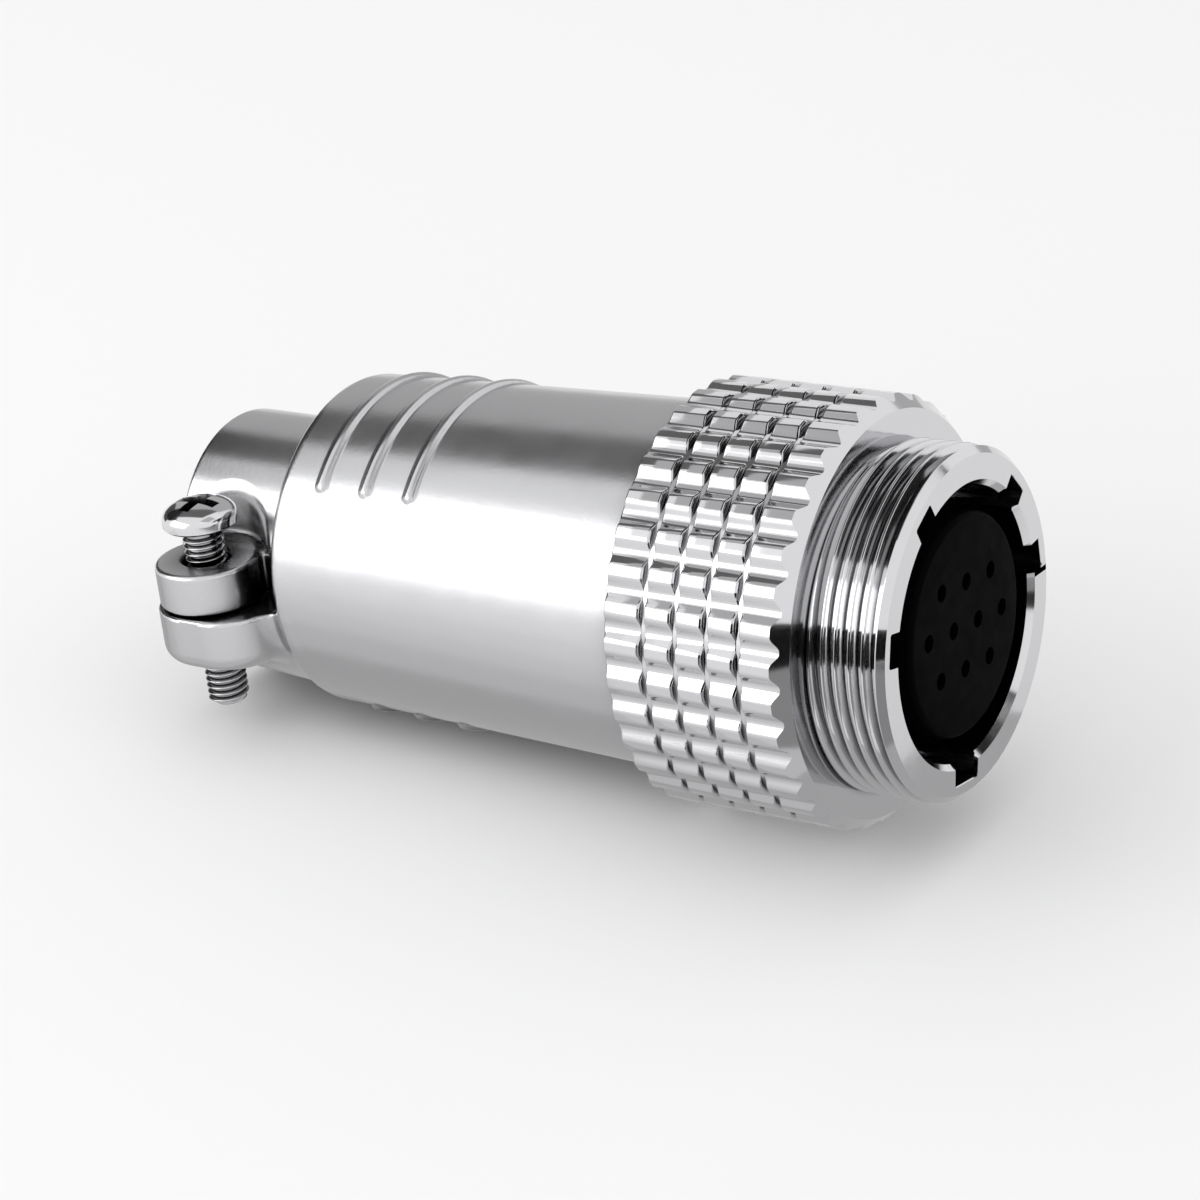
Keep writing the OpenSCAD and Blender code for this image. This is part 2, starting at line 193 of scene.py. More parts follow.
def textured(tree, shader, gloss, patch_mm, grit):
    """Roughness that drifts between two values, and a grit with a size, height and strength."""
    smooth, rough = gloss
    # The grit is drawn as coarse as it needs to show
    grit_mm, height_mm, strength = grit
    patches = grain(tree, patch_mm)
    spread = add_node(
        tree,
        "ShaderNodeMapRange",
        {
            "Value": patches.outputs["Fac"],
            "From Min": 0.3,
            "From Max": 0.7,
            "To Min": smooth,
            "To Max": rough,
        },
    )
    tree.links.new(spread.outputs["Result"], shader.inputs["Roughness"])
    bumps = grain(tree, grit_mm, 2.0)
    bump = add_node(
        tree,
        "ShaderNodeBump",
        {"Height": bumps.outputs["Fac"], "Strength": strength, "Distance": height_mm * MM},
    )
    tree.links.new(bump.outputs["Normal"], shader.inputs["Normal"])


def metal(name, tone, gloss, patch_mm, grit, painted_shade):
    """Plated metal with painted shade: recesses within a reach are darkened and keep only a share of the
    colour.
    """
    material, tree, shader = new_material(name)
    reach_mm, share = painted_shade
    # Painted shade: ambient occlusion darkens the colour in recesses, creases and the gaps between parts
    depth = add_node(tree, "ShaderNodeAmbientOcclusion", {"Distance": reach_mm * MM}, samples=8)
    shade = add_node(
        tree,
        "ShaderNodeMapRange",
        {
            "Value": depth.outputs["AO"],
            "From Min": 0.3,
            "From Max": 0.9,
            "To Min": share,
            "To Max": 1.0,
        },
    )
    # The painted shade scales the plating's colour
    shaded_tone = add_node(
        tree,
        "ShaderNodeVectorMath",
        {0: list(tone), "Scale": shade.outputs["Result"]},
        operation="SCALE",
    )
    tree.links.new(shaded_tone.outputs["Vector"], shader.inputs["Base Color"])
    shader.inputs["Metallic"].default_value = 1.0
    textured(tree, shader, gloss, patch_mm, grit)
    return material


def nickel_on_casting(finishes):
    """Bright nickel on die-cast zinc: the casting's skin makes the mirror satin and faintly grainy."""
    return metal(
        "nickel_plated_die_cast_zinc",
        finishes.cast_plating,
        gloss=(0.2, 0.27),
        patch_mm=3.0,
        grit=(0.35, 0.012, 0.35),
        # Painted shade in recesses: its reach in millimetres and the share of colour kept
        painted_shade=(4.0, 0.05),
    )


def nickel_on_turning(finishes):
    """Bright nickel on turned brass: sharp reflections, and painted shade that makes dark lines in
    grooves and thread.
    """
    return metal(
        "nickel_plated_turned_brass",
        finishes.turned_plating,
        gloss=(0.08, 0.13),
        patch_mm=2.0,
        grit=(0.25, 0.004, 0.12),
        # Painted shade in recesses: its reach in millimetres and the share of colour kept
        painted_shade=(0.6, 0.5),
    )


def zinc_on_screw(finishes):
    """Bright zinc on rolled steel screws: hard, almost mirror-like highlights."""
    return metal(
        "bright_zinc_plated_steel",
        finishes.screw_plating,
        gloss=(0.1, 0.16),
        patch_mm=1.0,
        grit=(0.2, 0.004, 0.2),
        # Painted shade in recesses: its reach in millimetres and the share of colour kept
        painted_shade=(1.2, 0.03),
    )


def gold_on_contact(finishes):
    """Thin gold on turned brass contacts: warm and even."""
    return metal(
        "gold_plated_brass",
        finishes.gold,
        gloss=(0.16, 0.24),
        patch_mm=0.8,
        grit=(0.15, 0.004, 0.2),
        # Painted shade in recesses: its reach in millimetres and the share of colour kept
        painted_shade=(0.5, 0.3),
    )


def bare_spring_steel(finishes):
    """Rolled spring strip: grey with a dull shine."""
    return metal(
        "rolled_spring_steel",
        finishes.spring,
        gloss=(0.28, 0.38),
        patch_mm=1.5,
        grit=(0.2, 0.004, 0.3),
        # Painted shade in recesses: its reach in millimetres and the share of colour kept
        painted_shade=(0.5, 0.3),
    )


def black_phenolic(finishes):
    """Pressed phenolic moulding: near black, with a low even sheen and a faint moulded grain."""
    material, tree, shader = new_material("black_phenolic_moulding")
    shader.inputs["Base Color"].default_value = rgba(finishes.moulding)
    shader.inputs["IOR"].default_value = 1.5
    shader.inputs["Specular IOR Level"].default_value = 0.01
    textured(tree, shader, gloss=(0.42, 0.55), patch_mm=1.2, grit=(0.2, 0.008, 0.2))
    return material


def mesh_of(name, points, faces):
    """Mesh from points in millimetres, with doubles merged and normals outwards."""
    mesh = bpy.data.meshes.new(name)
    mesh.from_pydata([tuple(p) for p in np.asarray(points, dtype=float) * MM], [], faces)
    shape = bmesh.new()
    shape.from_mesh(mesh)
    bmesh.ops.remove_doubles(shape, verts=shape.verts, dist=1e-7)
    bmesh.ops.dissolve_degenerate(shape, edges=shape.edges, dist=1e-8)
    bmesh.ops.recalc_face_normals(shape, faces=shape.faces)
    shape.to_mesh(mesh)
    shape.free()
    mesh.update()
    return mesh


def joined(name, meshes):
    """One mesh from several closed ones."""
    shape = bmesh.new()
    for mesh in meshes:
        shape.from_mesh(mesh)
        bpy.data.meshes.remove(mesh)
    bmesh.ops.recalc_face_normals(shape, faces=shape.faces)
    result = bpy.data.meshes.new(name)
    shape.to_mesh(result)
    shape.free()
    return result


def smooth_by_angle(mesh):
    """Smooth shading with crisp edges where the surface turns sharply."""
    mesh.shade_smooth()
    mesh.set_sharp_from_angle(angle=SHARP_EDGE)


def set_piece(name, mesh, material, slot, body, *nodes):
    """Object at the origin that stands for the named nodes and rides on their body."""
    mesh.materials.clear()
    mesh.materials.append(material)
    piece = bpy.data.objects.new(name, mesh)
    bpy.context.scene.collection.objects.link(piece)
    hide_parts(*nodes)
    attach(piece, body)


def ring_faces(ring_count, columns, closed):
    """Quads between neighbouring rings of points, with the last ring joined to the first if closed."""
    faces = []
    for j in range(ring_count if closed else ring_count - 1):
        a, b = j * columns, (j + 1) % ring_count * columns
        for i in range(columns):
            k = (i + 1) % columns
            faces.append((a + i, a + k, b + k, b + i))
    return faces


def capped(ring_count, columns, rising):
    """Faces of a turned piece with closed ends; its rings run up the axis if rising, else down it."""
    first = tuple(range(columns))
    last = tuple(range((ring_count - 1) * columns, ring_count * columns))
    caps = [first[::-1], last] if rising else [first, last[::-1]]
    return ring_faces(ring_count, columns, False) + caps


def full_turn(columns):
    """Even angles round a full turn."""
    return np.linspace(0, 2 * math.pi, columns, endpoint=False)


def about_x(x, r, angles):
    """Ring of points round the connector's axis."""
    x, r = np.broadcast_to(x, angles.shape), np.broadcast_to(r, angles.shape)
    return np.column_stack([x, r * np.cos(angles), r * np.sin(angles)])


def about_z(z, r, angles):
    """Ring of points round an upright axis."""
    r = np.broadcast_to(r, angles.shape)
    return np.column_stack([r * np.cos(angles), r * np.sin(angles), np.full(len(angles), z)])


def new_tree(name, inputs):
    """Geometry tree with named inputs, and the nodes of its group input and output."""
    tree = bpy.data.node_groups.new(name, "GeometryNodeTree")
    tree.interface.new_socket("Geometry", in_out="INPUT", socket_type="NodeSocketGeometry")
    for label, kind in inputs:
        tree.interface.new_socket(label, in_out="INPUT", socket_type="NodeSocket" + kind)
    tree.interface.new_socket("Geometry", in_out="OUTPUT", socket_type="NodeSocketGeometry")
    return tree, tree.nodes.new("NodeGroupInput").outputs


def end_tree(tree, geometry, material):
    """Realizes what the tree made and gives it its material."""
    real = add_node(tree, "GeometryNodeRealizeInstances", {"Geometry": geometry})
    dressed = add_node(
        tree, "GeometryNodeSetMaterial", {"Geometry": real.outputs["Geometry"], "Material": material}
    )
    add_node(tree, "NodeGroupOutput", {"Geometry": dressed.outputs["Geometry"]})


def grown(mesh, tree, values):
    """Runs a tree on a mesh and returns the result as a plain mesh."""
    holder = bpy.data.objects.new("holder", mesh)
    bpy.context.scene.collection.objects.link(holder)
    modifier = holder.modifiers.new("Nodes", "NODES")
    modifier.node_group = tree
    for item in tree.interface.items_tree:
        if item.in_out == "INPUT" and item.name in values:
            modifier[item.identifier] = values[item.name]
    bpy.context.view_layer.update()
    seen = holder.evaluated_get(bpy.context.evaluated_depsgraph_get())
    result = bpy.data.meshes.new_from_object(seen)
    holder.modifiers.remove(modifier)
    bpy.data.objects.remove(holder)
    bpy.data.meshes.remove(mesh)
    if not result.polygons:
        raise RuntimeError("the tree " + tree.name + " made no faces")
    return result


def ring_tree(material):
    """Tree that repeats a wedge round the connector's axis and closes the seams between the copies."""
    tree, given = new_tree(
        "copies_round_the_axis", [("Copies", "Int"), ("First angle", "Float"), ("Step", "Float")]
    )
    line = add_node(tree, "GeometryNodeMeshLine", {"Count": given["Copies"], "Offset": (0, 0, 0)})
    index = add_node(tree, "GeometryNodeInputIndex")
    angle = add_node(
        tree,
        "ShaderNodeMath",
        {0: index.outputs["Index"], 1: given["Step"], 2: given["First angle"]},
        operation="MULTIPLY_ADD",
    )
    euler = add_node(tree, "ShaderNodeCombineXYZ", {"X": angle.outputs["Value"]})
    copies = add_node(
        tree,
        "GeometryNodeInstanceOnPoints",
        {
            "Points": line.outputs["Mesh"],
            "Instance": given["Geometry"],
            "Rotation": euler.outputs["Vector"],
        },
    )
    real = add_node(tree, "GeometryNodeRealizeInstances", {"Geometry": copies.outputs["Instances"]})
    closed = add_node(
        tree,
        "GeometryNodeMergeByDistance",
        {"Geometry": real.outputs["Geometry"], "Distance": 0.002 * MM},
    )
    end_tree(tree, closed.outputs["Geometry"], material)
    return tree


def thread_tree(material):
    """Tree that winds a right-hand thread ridge up the Z axis, tapered at both ends."""
    tree, given = new_tree(
        "thread_ridge",
        [
            ("Root radius", "Float"),
            ("Turns", "Float"),
            ("Rise", "Float"),
            ("Base width", "Float"),
            ("Crest width", "Float"),
            ("Height", "Float"),
            ("Crest rounding", "Float"),
            ("Run-out", "Float"),
            ("Points a turn", "Int"),
        ],
    )
    helix = add_node(
        tree,
        "GeometryNodeCurveSpiral",
        {
            "Resolution": given["Points a turn"],
            "Rotations": given["Turns"],
            "Start Radius": given["Root radius"],
            "End Radius": given["Root radius"],
            "Height": given["Rise"],
            "Reverse": True,
        },
    )
    upright = add_node(
        tree, "GeometryNodeSetCurveNormal", {"Curve": helix.outputs["Curve"]}, mode="Z_UP"
    )
    section = add_node(
        tree,
        "GeometryNodeCurvePrimitiveQuadrilateral",
        {
            "Bottom Width": given["Base width"],
            "Top Width": given["Crest width"],
            "Height": given["Height"],
            "Offset": 0.0,
        },
        mode="TRAPEZOID",
    )
    eased = add_node(
        tree,
        "GeometryNodeFilletCurve",
        {
            "Curve": section.outputs["Curve"],
            "Radius": given["Crest rounding"],
            "Limit Radius": True,
            "Count": 3,
        },
        mode="POLY",
    )
    half = add_node(tree, "ShaderNodeMath", {0: given["Height"], 1: 0.5}, operation="MULTIPLY")
    shift = add_node(tree, "ShaderNodeCombineXYZ", {"X": half.outputs["Value"]})
    outward = add_node(
        tree,
        "GeometryNodeTransform",
        {
            "Geometry": eased.outputs["Curve"],
            "Translation": shift.outputs["Vector"],
            "Rotation": (0, 0, -math.pi / 2),
        },
    )
    along = add_node(tree, "GeometryNodeSplineParameter")
    back = add_node(
        tree, "ShaderNodeMath", {0: 1.0, 1: along.outputs["Factor"]}, operation="SUBTRACT"
    )
    nearest = add_node(
        tree,
        "ShaderNodeMath",
        {0: along.outputs["Factor"], 1: back.outputs["Value"]},
        operation="MINIMUM",
    )
    taper = add_node(
        tree,
        "ShaderNodeMapRange",
        {
            "Value": nearest.outputs["Value"],
            "From Min": 0.0,
            "From Max": given["Run-out"],
            "To Min": 0.05,
            "To Max": 1.0,
        },
    )
    ridge = add_node(
        tree,
        "GeometryNodeCurveToMesh",
        {
            "Curve": upright.outputs["Curve"],
            "Profile Curve": outward.outputs["Geometry"],
            "Scale": taper.outputs["Result"],
            "Fill Caps": True,
        },
    )
    end_tree(tree, ridge.outputs["Mesh"], material)
    return tree


def thread_ridge(material, crest_r, root_r, pitch, run, sunk):
    """Mesh of a thread ridge up the Z axis from zero; its foot is sunk into the core."""
    depth = crest_r - root_r
    slope = math.tan(FLANK_ANGLE)
    crest = pitch / 6
    empty = bpy.data.meshes.new("thread")
    return grown(
        empty,
        thread_tree(material),
        {
            "Root radius": (root_r - sunk) * MM,
            "Turns": run / pitch,
            "Rise": run * MM,
            "Base width": (crest + 2 * slope * (depth + sunk)) * MM,
            "Crest width": crest * MM,
            "Height": (depth + sunk) * MM,
            "Crest rounding": 0.08 * pitch * MM,
            "Run-out": 0.35 * pitch / run,
            "Points a turn": 96,
        },
    )


def laid_on_axis(mesh, front_x):
    """Turns a mesh made up the Z axis so that it runs back from a station on the connector's axis."""
    quarter = Matrix.Rotation(math.radians(-90), 4, "Y")
    mesh.transform(Matrix.Translation((front_x * MM, 0, 0)) @ quarter)


# Front shell, in millimetres

# Angle and width of each keyway
KEYWAYS = ((4.4, 2.3), (41, 2.3), (117, 2.3), (166, 2.3), (-100, 3.2))
# Stations of the grooves round the grip ring
GROOVE_X = (-9.15, -11.55, -13.95, -16.35)
# Outside of the rim: station, and depth under the thread's crest; then its flat face and its end
RIM_EDGE = ((-0.08, 0.45), (-0.45, 0.08), (-0.53, 0.1))
RIM_FLAT = 0.53
RIM_END_X = -0.82
# Mouth of the cavity: chamfer, and easing of the chamfer and of the keyways
MOUTH_CHAMFER = 0.4
MOUTH_EASE = 0.05
KEYWAY_EASE = 0.06
# The cavity ends at a wider seat, which has a groove for the retaining ring
CAVITY_END_X = -9.0
SEAT_STEP = 1.2
SEAT_CHAMFER = 0.1
SNAP_FRONT_X = -13.8
SNAP_REAR_X = -14.85
SNAP_DEPTH = 0.75
# The grip ring's foot is sunk into the tube, which ends just short of the ring's rear face
RING_SUNK = 0.4
RING_FOOT = 0.15
TUBE_SHORT = 0.05
# Fillet between the barrel and the ring's face
FACE_FILLET = 0.12
# Coupling thread: start, how much shorter than the barrel it is, and depth of its foot in the tube
THREAD_START_X = -0.62
THREAD_SHORT = 0.5
THREAD_SUNK = 0.1


def thread_root_r(sizes):
    """Radius at the root of the coupling thread."""
    return sizes.thread_d / MM / 2 - THREAD_DEPTH * sizes.thread_pitch / MM


def cavity_columns(cavity_r, depth):
    """Angles of the columns, and the radius of the keyed cavity at each."""
    angles, radii = [], []
    marks = sorted((math.radians(a % 360), w / 2) for a, w in KEYWAYS)
    bottom = cavity_r + depth
    corner = 0.12
    position = 0.0
    step = math.radians(1.25)
    for middle, half in marks:
        mouth = math.asin(half / cavity_r)
        while position < middle - mouth - step / 2:
            angles.append(position)
            radii.append(cavity_r)
            position += step
        wall = [
            (cavity_r, half + corner),
            (cavity_r + corner, half),
            (bottom - corner, half),
            (bottom, half - corner),
        ]
        floor = [(bottom, half * k / 4) for k in (2, 0)]
        side = wall + floor
        outline = [(r, -a) for r, a in side] + [(r, a) for r, a in reversed(side[:-1])]
        for reach, across in outline:
            angles.append(middle + math.atan2(across, reach))
            radii.append(math.hypot(reach, across) if reach > cavity_r else cavity_r)
        position = middle + mouth + step
    while position < 2 * math.pi - step / 2:
        angles.append(position)
        radii.append(cavity_r)
        position += step
    return np.array(angles), np.array(radii)


def front_core(sizes):
    """Tube under the thread and the grip ring, with its keyed cavity."""
    thread_r = sizes.thread_d / MM / 2
    root_r = thread_root_r(sizes)
    cavity_r = sizes.cavity_d / MM / 2
    end_x = -(sizes.barrel_l + sizes.grip_l) / MM + TUBE_SHORT
    keyway_x = -sizes.keyway_l / MM
    seat_r = cavity_r + SEAT_STEP
    angles, keyed = cavity_columns(cavity_r, sizes.keyway_depth / MM)
    rings = [
        *((x, thread_r - deep) for x, deep in RIM_EDGE),
        (RIM_END_X, root_r),
        (end_x, root_r),
        (end_x, seat_r + SEAT_CHAMFER),
        (end_x + SEAT_CHAMFER, seat_r),
        (SNAP_REAR_X, seat_r),
        (SNAP_REAR_X, seat_r + SNAP_DEPTH),
        (SNAP_FRONT_X, seat_r + SNAP_DEPTH),
        (SNAP_FRONT_X, seat_r),
        (CAVITY_END_X, seat_r),
        (CAVITY_END_X, cavity_r),
        (keyway_x, cavity_r),
        (keyway_x, keyed),
        (-MOUTH_CHAMFER, keyed),
        (-MOUTH_EASE, np.maximum(keyed, cavity_r + MOUTH_CHAMFER - MOUTH_EASE)),
        (0.0, np.maximum(keyed + KEYWAY_EASE, cavity_r + MOUTH_CHAMFER)),
        (0.0, thread_r - RIM_FLAT),
    ]
    points = np.vstack([about_x(x, r, angles) for x, r in rings])
    return mesh_of("front_core", points, ring_faces(len(rings), len(angles), True))


def grip_wedge(sizes):
    """One ridge of the grip ring with half a flute at each side, cut off by the ring's front cone."""
    top_r = sizes.grip_d / MM / 2
    floor_r = top_r - sizes.flute_depth / MM
    front, rear = -sizes.barrel_l / MM, -(sizes.barrel_l + sizes.grip_l) / MM
    root_r = thread_root_r(sizes)
    inner_r = root_r - RING_SUNK
    spread = math.pi / sizes.ridge_count
    angles = np.linspace(-spread, spread, 25)
    crest, foot = sizes.crest_w / MM / 2, sizes.ridge_w / MM / 2
    slope = np.clip((foot - np.abs(angles) * top_r) / (foot - crest), 0, 1)
    ridge_r = floor_r + (top_r - floor_r) * slope * slope * (3 - 2 * slope)
    cone_r = top_r - sizes.cone_h / MM
    cone_x = front - (ridge_r - cone_r) * sizes.cone_l / sizes.cone_h
    sections = [
        (front + RING_FOOT, inner_r),
        (front + FACE_FILLET, root_r),
        (front, root_r + FACE_FILLET),
        (front, cone_r),
        (cone_x, ridge_r),
    ]
    half, ease = sizes.groove_w / MM / 2, sizes.groove_ease / MM
    bottom = floor_r - sizes.groove_sink / MM
    bend = [math.radians(15 * k) for k in range(7)]
    for x in GROOVE_X:
        side = [
            (half + ease * (1 - math.sin(a)), bottom + (ridge_r - bottom) * math.cos(a)) for a in bend
        ]
        sections += [(x + reach, r) for reach, r in side]
        sections += [(x - reach, r) for reach, r in reversed(side)]
    edge = 0.2
    sections += [
        (rear + edge + ease * (1 - math.sin(a)), floor_r + (ridge_r - floor_r) * math.cos(a))
        for a in bend
    ]
    sections += [(rear, floor_r - edge), (rear, inner_r)]
    points = np.vstack([about_x(x, r, angles) for x, r in sections])
    columns = len(angles)
    faces = []
    for j in range(len(sections)):
        a, b = j * columns, (j + 1) % len(sections) * columns
        faces += [(a + i, a + i + 1, b + i + 1, b + i) for i in range(columns - 1)]
    mesh = bpy.data.meshes.new("grip_wedge")
    mesh.from_pydata((points * MM).tolist(), [], faces)
    return mesh


class CONNECTOR_OT_front_shell(bpy.types.Operator):
    """Makes the front shell: keyed barrel, coupling thread and ridged grip ring"""

    bl_idname = "connector.front_shell"
    bl_label = "Front shell"

    def execute(self, context):
        sizes = context.scene.connector_front
        material = nickel_on_turning(context.scene.connector_finish)
        copies = sizes.ridge_count
        grip = grown(
            grip_wedge(sizes),
            ring_tree(material),
            {"Copies": copies, "First angle": sizes.ridge_first, "Step": 2 * math.pi / copies},
        )
        crest_r = sizes.thread_d / MM / 2
        pitch = sizes.thread_pitch / MM
        run = sizes.barrel_l / MM - THREAD_SHORT
        thread = thread_ridge(material, crest_r, thread_root_r(sizes), pitch, run, THREAD_SUNK)
        laid_on_axis(thread, THREAD_START_X)
        mesh = joined("front_shell_dressed", [front_core(sizes), grip, thread])
        smooth_by_angle(mesh)
        set_piece("front_shell_dressed", mesh, material, "plated_shell", "housing", "front_shell")
        return {"FINISHED"}


# Front insert

NOSE_END_X = -10.2
HOLE_SIDES = 40


def drill_tree(material):
    """Tree that sinks rows of three, four and three holes into the nose, with a room behind each."""
    tree, given = new_tree(
        "contact_holes",
        [
            ("Pitch", "Float"),
            ("Turn", "Float"),
            ("Entry radius", "Float"),
            ("Entry length", "Float"),
            ("Contact radius", "Float"),
            ("Face", "Float"),
            ("Depth", "Float"),
        ],
    )
    rows = add_node(tree, "GeometryNodeJoinGeometry")
    for number, level in ((3, -1), (4, 0), (3, 1)):
        start = add_node(
            tree, "ShaderNodeMath", {0: given["Pitch"], 1: -(number - 1) / 2}, operation="MULTIPLY"
        )
        height = add_node(
            tree,
            "ShaderNodeMath",
            {0: given["Pitch"], 1: level * math.sin(math.radians(60))},
            operation="MULTIPLY",
        )
        place = add_node(
            tree,
            "ShaderNodeCombineXYZ",
            {"X": given["Face"], "Y": start.outputs["Value"], "Z": height.outputs["Value"]},
        )
        offset = add_node(tree, "ShaderNodeCombineXYZ", {"Y": given["Pitch"]})
        line = add_node(
            tree,
            "GeometryNodeMeshLine",
            {
                "Count": number,
                "Start Location": place.outputs["Vector"],
                "Offset": offset.outputs["Vector"],
            },
        )
        tree.links.new(line.outputs["Mesh"], rows.inputs["Geometry"])
    euler = add_node(tree, "ShaderNodeCombineXYZ", {"X": given["Turn"]})
    turned = add_node(
        tree,
        "GeometryNodeTransform",
        {"Geometry": rows.outputs["Geometry"], "Rotation": euler.outputs["Vector"]},
    )
    # The entry is centred on the face, so it goes in by half its length and ends short of the room
    entry = add_node(
        tree,
        "GeometryNodeMeshCylinder",
        {"Vertices": HOLE_SIDES, "Radius": given["Entry radius"], "Depth": given["Entry length"]},
    )
    # The cone stands out from the face, so it marks a ring there and cuts no chamfer
    lead = add_node(
        tree,
        "GeometryNodeMeshCone",
        {
            "Vertices": HOLE_SIDES,
            "Radius Top": 0.4 * MM,
            "Radius Bottom": 0.9 * MM,
            "Depth": 0.5 * MM,
        },
    )
    half = add_node(tree, "ShaderNodeMath", {0: given["Depth"], 1: -0.5}, operation="MULTIPLY")
    past = add_node(
        tree,
        "ShaderNodeMath",
        {0: half.outputs["Value"], 1: given["Entry length"]},
        operation="SUBTRACT",
    )
    room_place = add_node(tree, "ShaderNodeCombineXYZ", {"Z": past.outputs["Value"]})
    room = add_node(
        tree,
        "GeometryNodeMeshCylinder",
        {"Vertices": HOLE_SIDES, "Radius": given["Contact radius"], "Depth": given["Depth"]},
    )
    placed = add_node(
        tree,
        "GeometryNodeTransform",
        {"Geometry": room.outputs["Mesh"], "Translation": room_place.outputs["Vector"]},
    )
    drill = add_node(tree, "GeometryNodeJoinGeometry")
    for part in (entry.outputs["Mesh"], lead.outputs["Mesh"], placed.outputs["Geometry"]):
        tree.links.new(part, drill.inputs["Geometry"])
    drills = add_node(
        tree,
        "GeometryNodeInstanceOnPoints",
        {
            "Points": turned.outputs["Geometry"],
            "Instance": drill.outputs["Geometry"],
            "Rotation": (0, math.pi / 2, 0),
        },
    )
    cut = add_node(
        tree,
        "GeometryNodeMeshBoolean",
        {"Mesh 1": given["Geometry"], "Mesh 2": drills.outputs["Instances"], "Self Intersection": True},
        operation="DIFFERENCE",
        solver="EXACT",
    )
    end_tree(tree, cut.outputs["Mesh"], material)
    return tree


def nose_body(sizes):
    """Turned outline of the nose with its rounded edge."""
    r = sizes.nose_d / MM / 2
    face = -sizes.nose_setback / MM
    edge = 0.4
    angles = full_turn(144)
    outline = [(face, r - edge)]
    for k in range(1, 7):
        a = math.radians(15 * k)
        outline.append((face - edge * (1 - math.cos(a)), r - edge + edge * math.sin(a)))
    outline.append((NOSE_END_X, r))
    points = np.vstack([about_x(x, reach, angles) for x, reach in outline])
    return mesh_of("nose", points, capped(len(outline), len(angles), rising=False))


class CONNECTOR_OT_front_insert(bpy.types.Operator):
    """Makes the black front insert with its ten contact holes"""

    bl_idname = "connector.front_insert"
    bl_label = "Front insert"

    def execute(self, context):
        sizes = context.scene.connector_front
        material = black_phenolic(context.scene.connector_finish)
        mesh = grown(
            nose_body(sizes),
            drill_tree(material),
            {
                "Pitch": sizes.contact_pitch,
                "Turn": sizes.contact_turn,
                "Entry radius": sizes.entry_d / 2,
                "Entry length": 3 * MM,
                "Contact radius": 1.0 * MM,
                "Face": -sizes.nose_setback,
                "Depth": 12 * MM,
            },
        )
        smooth_by_angle(mesh)
        set_piece("insert_front_dressed", mesh, material, "black_insert", "housing", "insert_front")
        return {"FINISHED"}


# Cast pieces: fields that are negative inside the metal


def both(a, b, r):
    """Common part of two solids, with the edge between them rounded."""
    return np.minimum(-r, np.maximum(a, b)) + np.hypot(np.maximum(r + a, 0), np.maximum(r + b, 0))


def either(a, b, r):
    """Union of two solids, with a fillet between them."""
    return np.maximum(r, np.minimum(a, b)) - np.hypot(np.maximum(r - a, 0), np.maximum(r - b, 0))


def without(a, b, r):
    """First solid less the second, with a rounded edge."""
    return both(a, -b, r)


def surface_net(field, axes):
    """Points and quads of a field's zero surface, drawn onto it from the grid of the axes."""
    values = field(*np.meshgrid(*axes, indexing="ij"))
    inside = values < 0
    shape = np.array(values.shape) - 1
    total = np.zeros((*shape, 3))
    hits = np.zeros(shape)
    corners = [(i, j, k) for i in (0, 1) for j in (0, 1) for k in (0, 1)]
    for a in corners:
        for axis in range(3):
            if a[axis]:
                continue
            b = tuple(c + (n == axis) for n, c in enumerate(a))
            cut = [tuple(slice(c, c + s) for c, s in zip(at, shape)) for at in (a, b)]
            va, vb = values[cut[0]], values[cut[1]]
            crossed = inside[cut[0]] != inside[cut[1]]
            share = np.where(crossed, va / np.where(crossed, va - vb, 1), 0)
            hits += crossed
            for n in range(3):
                total[..., n] += np.where(crossed, a[n] + (share if n == axis else 0), 0)
    live = hits > 0
    number = np.full(shape, -1)
    number[live] = np.arange(live.sum())
    cells = np.argwhere(live)
    spots = cells + total[live] / hits[live][:, None]
    points = np.stack(
        [np.interp(spots[:, n], np.arange(len(axes[n])), axes[n]) for n in range(3)], 1
    )
    quads = []
    for axis in range(3):
        u, v = (axis + 1) % 3, (axis + 2) % 3
        head = [slice(1, -1)] * 3
        head[axis] = slice(0, -1)
        tail = list(head)
        tail[axis] = slice(1, None)
        first, second = inside[tuple(head)], inside[tuple(tail)]
        spots = np.argwhere(first != second)
        leaving = first[tuple(spots.T)]
        cell = spots + 1
        cell[:, axis] -= 1
        ring = []
        for du, dv in ((-1, -1), (0, -1), (0, 0), (-1, 0)):
            at = cell.copy()
            at[:, u] += du
            at[:, v] += dv
            ring.append(number[tuple(at.T)])
        ring = np.stack(ring, 1)
        quads.append(np.where(leaving[:, None], ring, ring[:, ::-1]))
    return points, np.vstack(quads)


def gradient(field, points, reach=0.01):
    """Slope of a field at points."""
    sides = []
    for axis in range(3):
        ahead, behind = points.copy(), points.copy()
        ahead[:, axis] += reach
        behind[:, axis] -= reach
        sides.append((field(*ahead.T) - field(*behind.T)) / (2 * reach))
    return np.stack(sides, 1)


def cast_mesh(name, field, axes):
    """Mesh of a cast piece, with its points and normals taken from the field."""
    points, quads = surface_net(field, axes)
    step = min(np.diff(axis).max() for axis in axes)
    # A few steps down the slope draw the points onto the surface
    for _ in range(5):
        slope = gradient(field, points)
        size = np.maximum((slope * slope).sum(1), 0.05)
        move = np.clip(field(*points.T) / size, -step / 2, step / 2)
        points -= slope * move[:, None]
    slope = gradient(field, points, 0.03)
    normals = slope / np.maximum(np.linalg.norm(slope, axis=1), 1e-9)[:, None]
    mesh = bpy.data.meshes.new(name)
    mesh.from_pydata((points * MM).tolist(), [], quads.tolist())
    mesh.shade_smooth()
    mesh.normals_split_custom_set_from_vertices(normals.tolist())
    return mesh


# Back shell, in millimetres

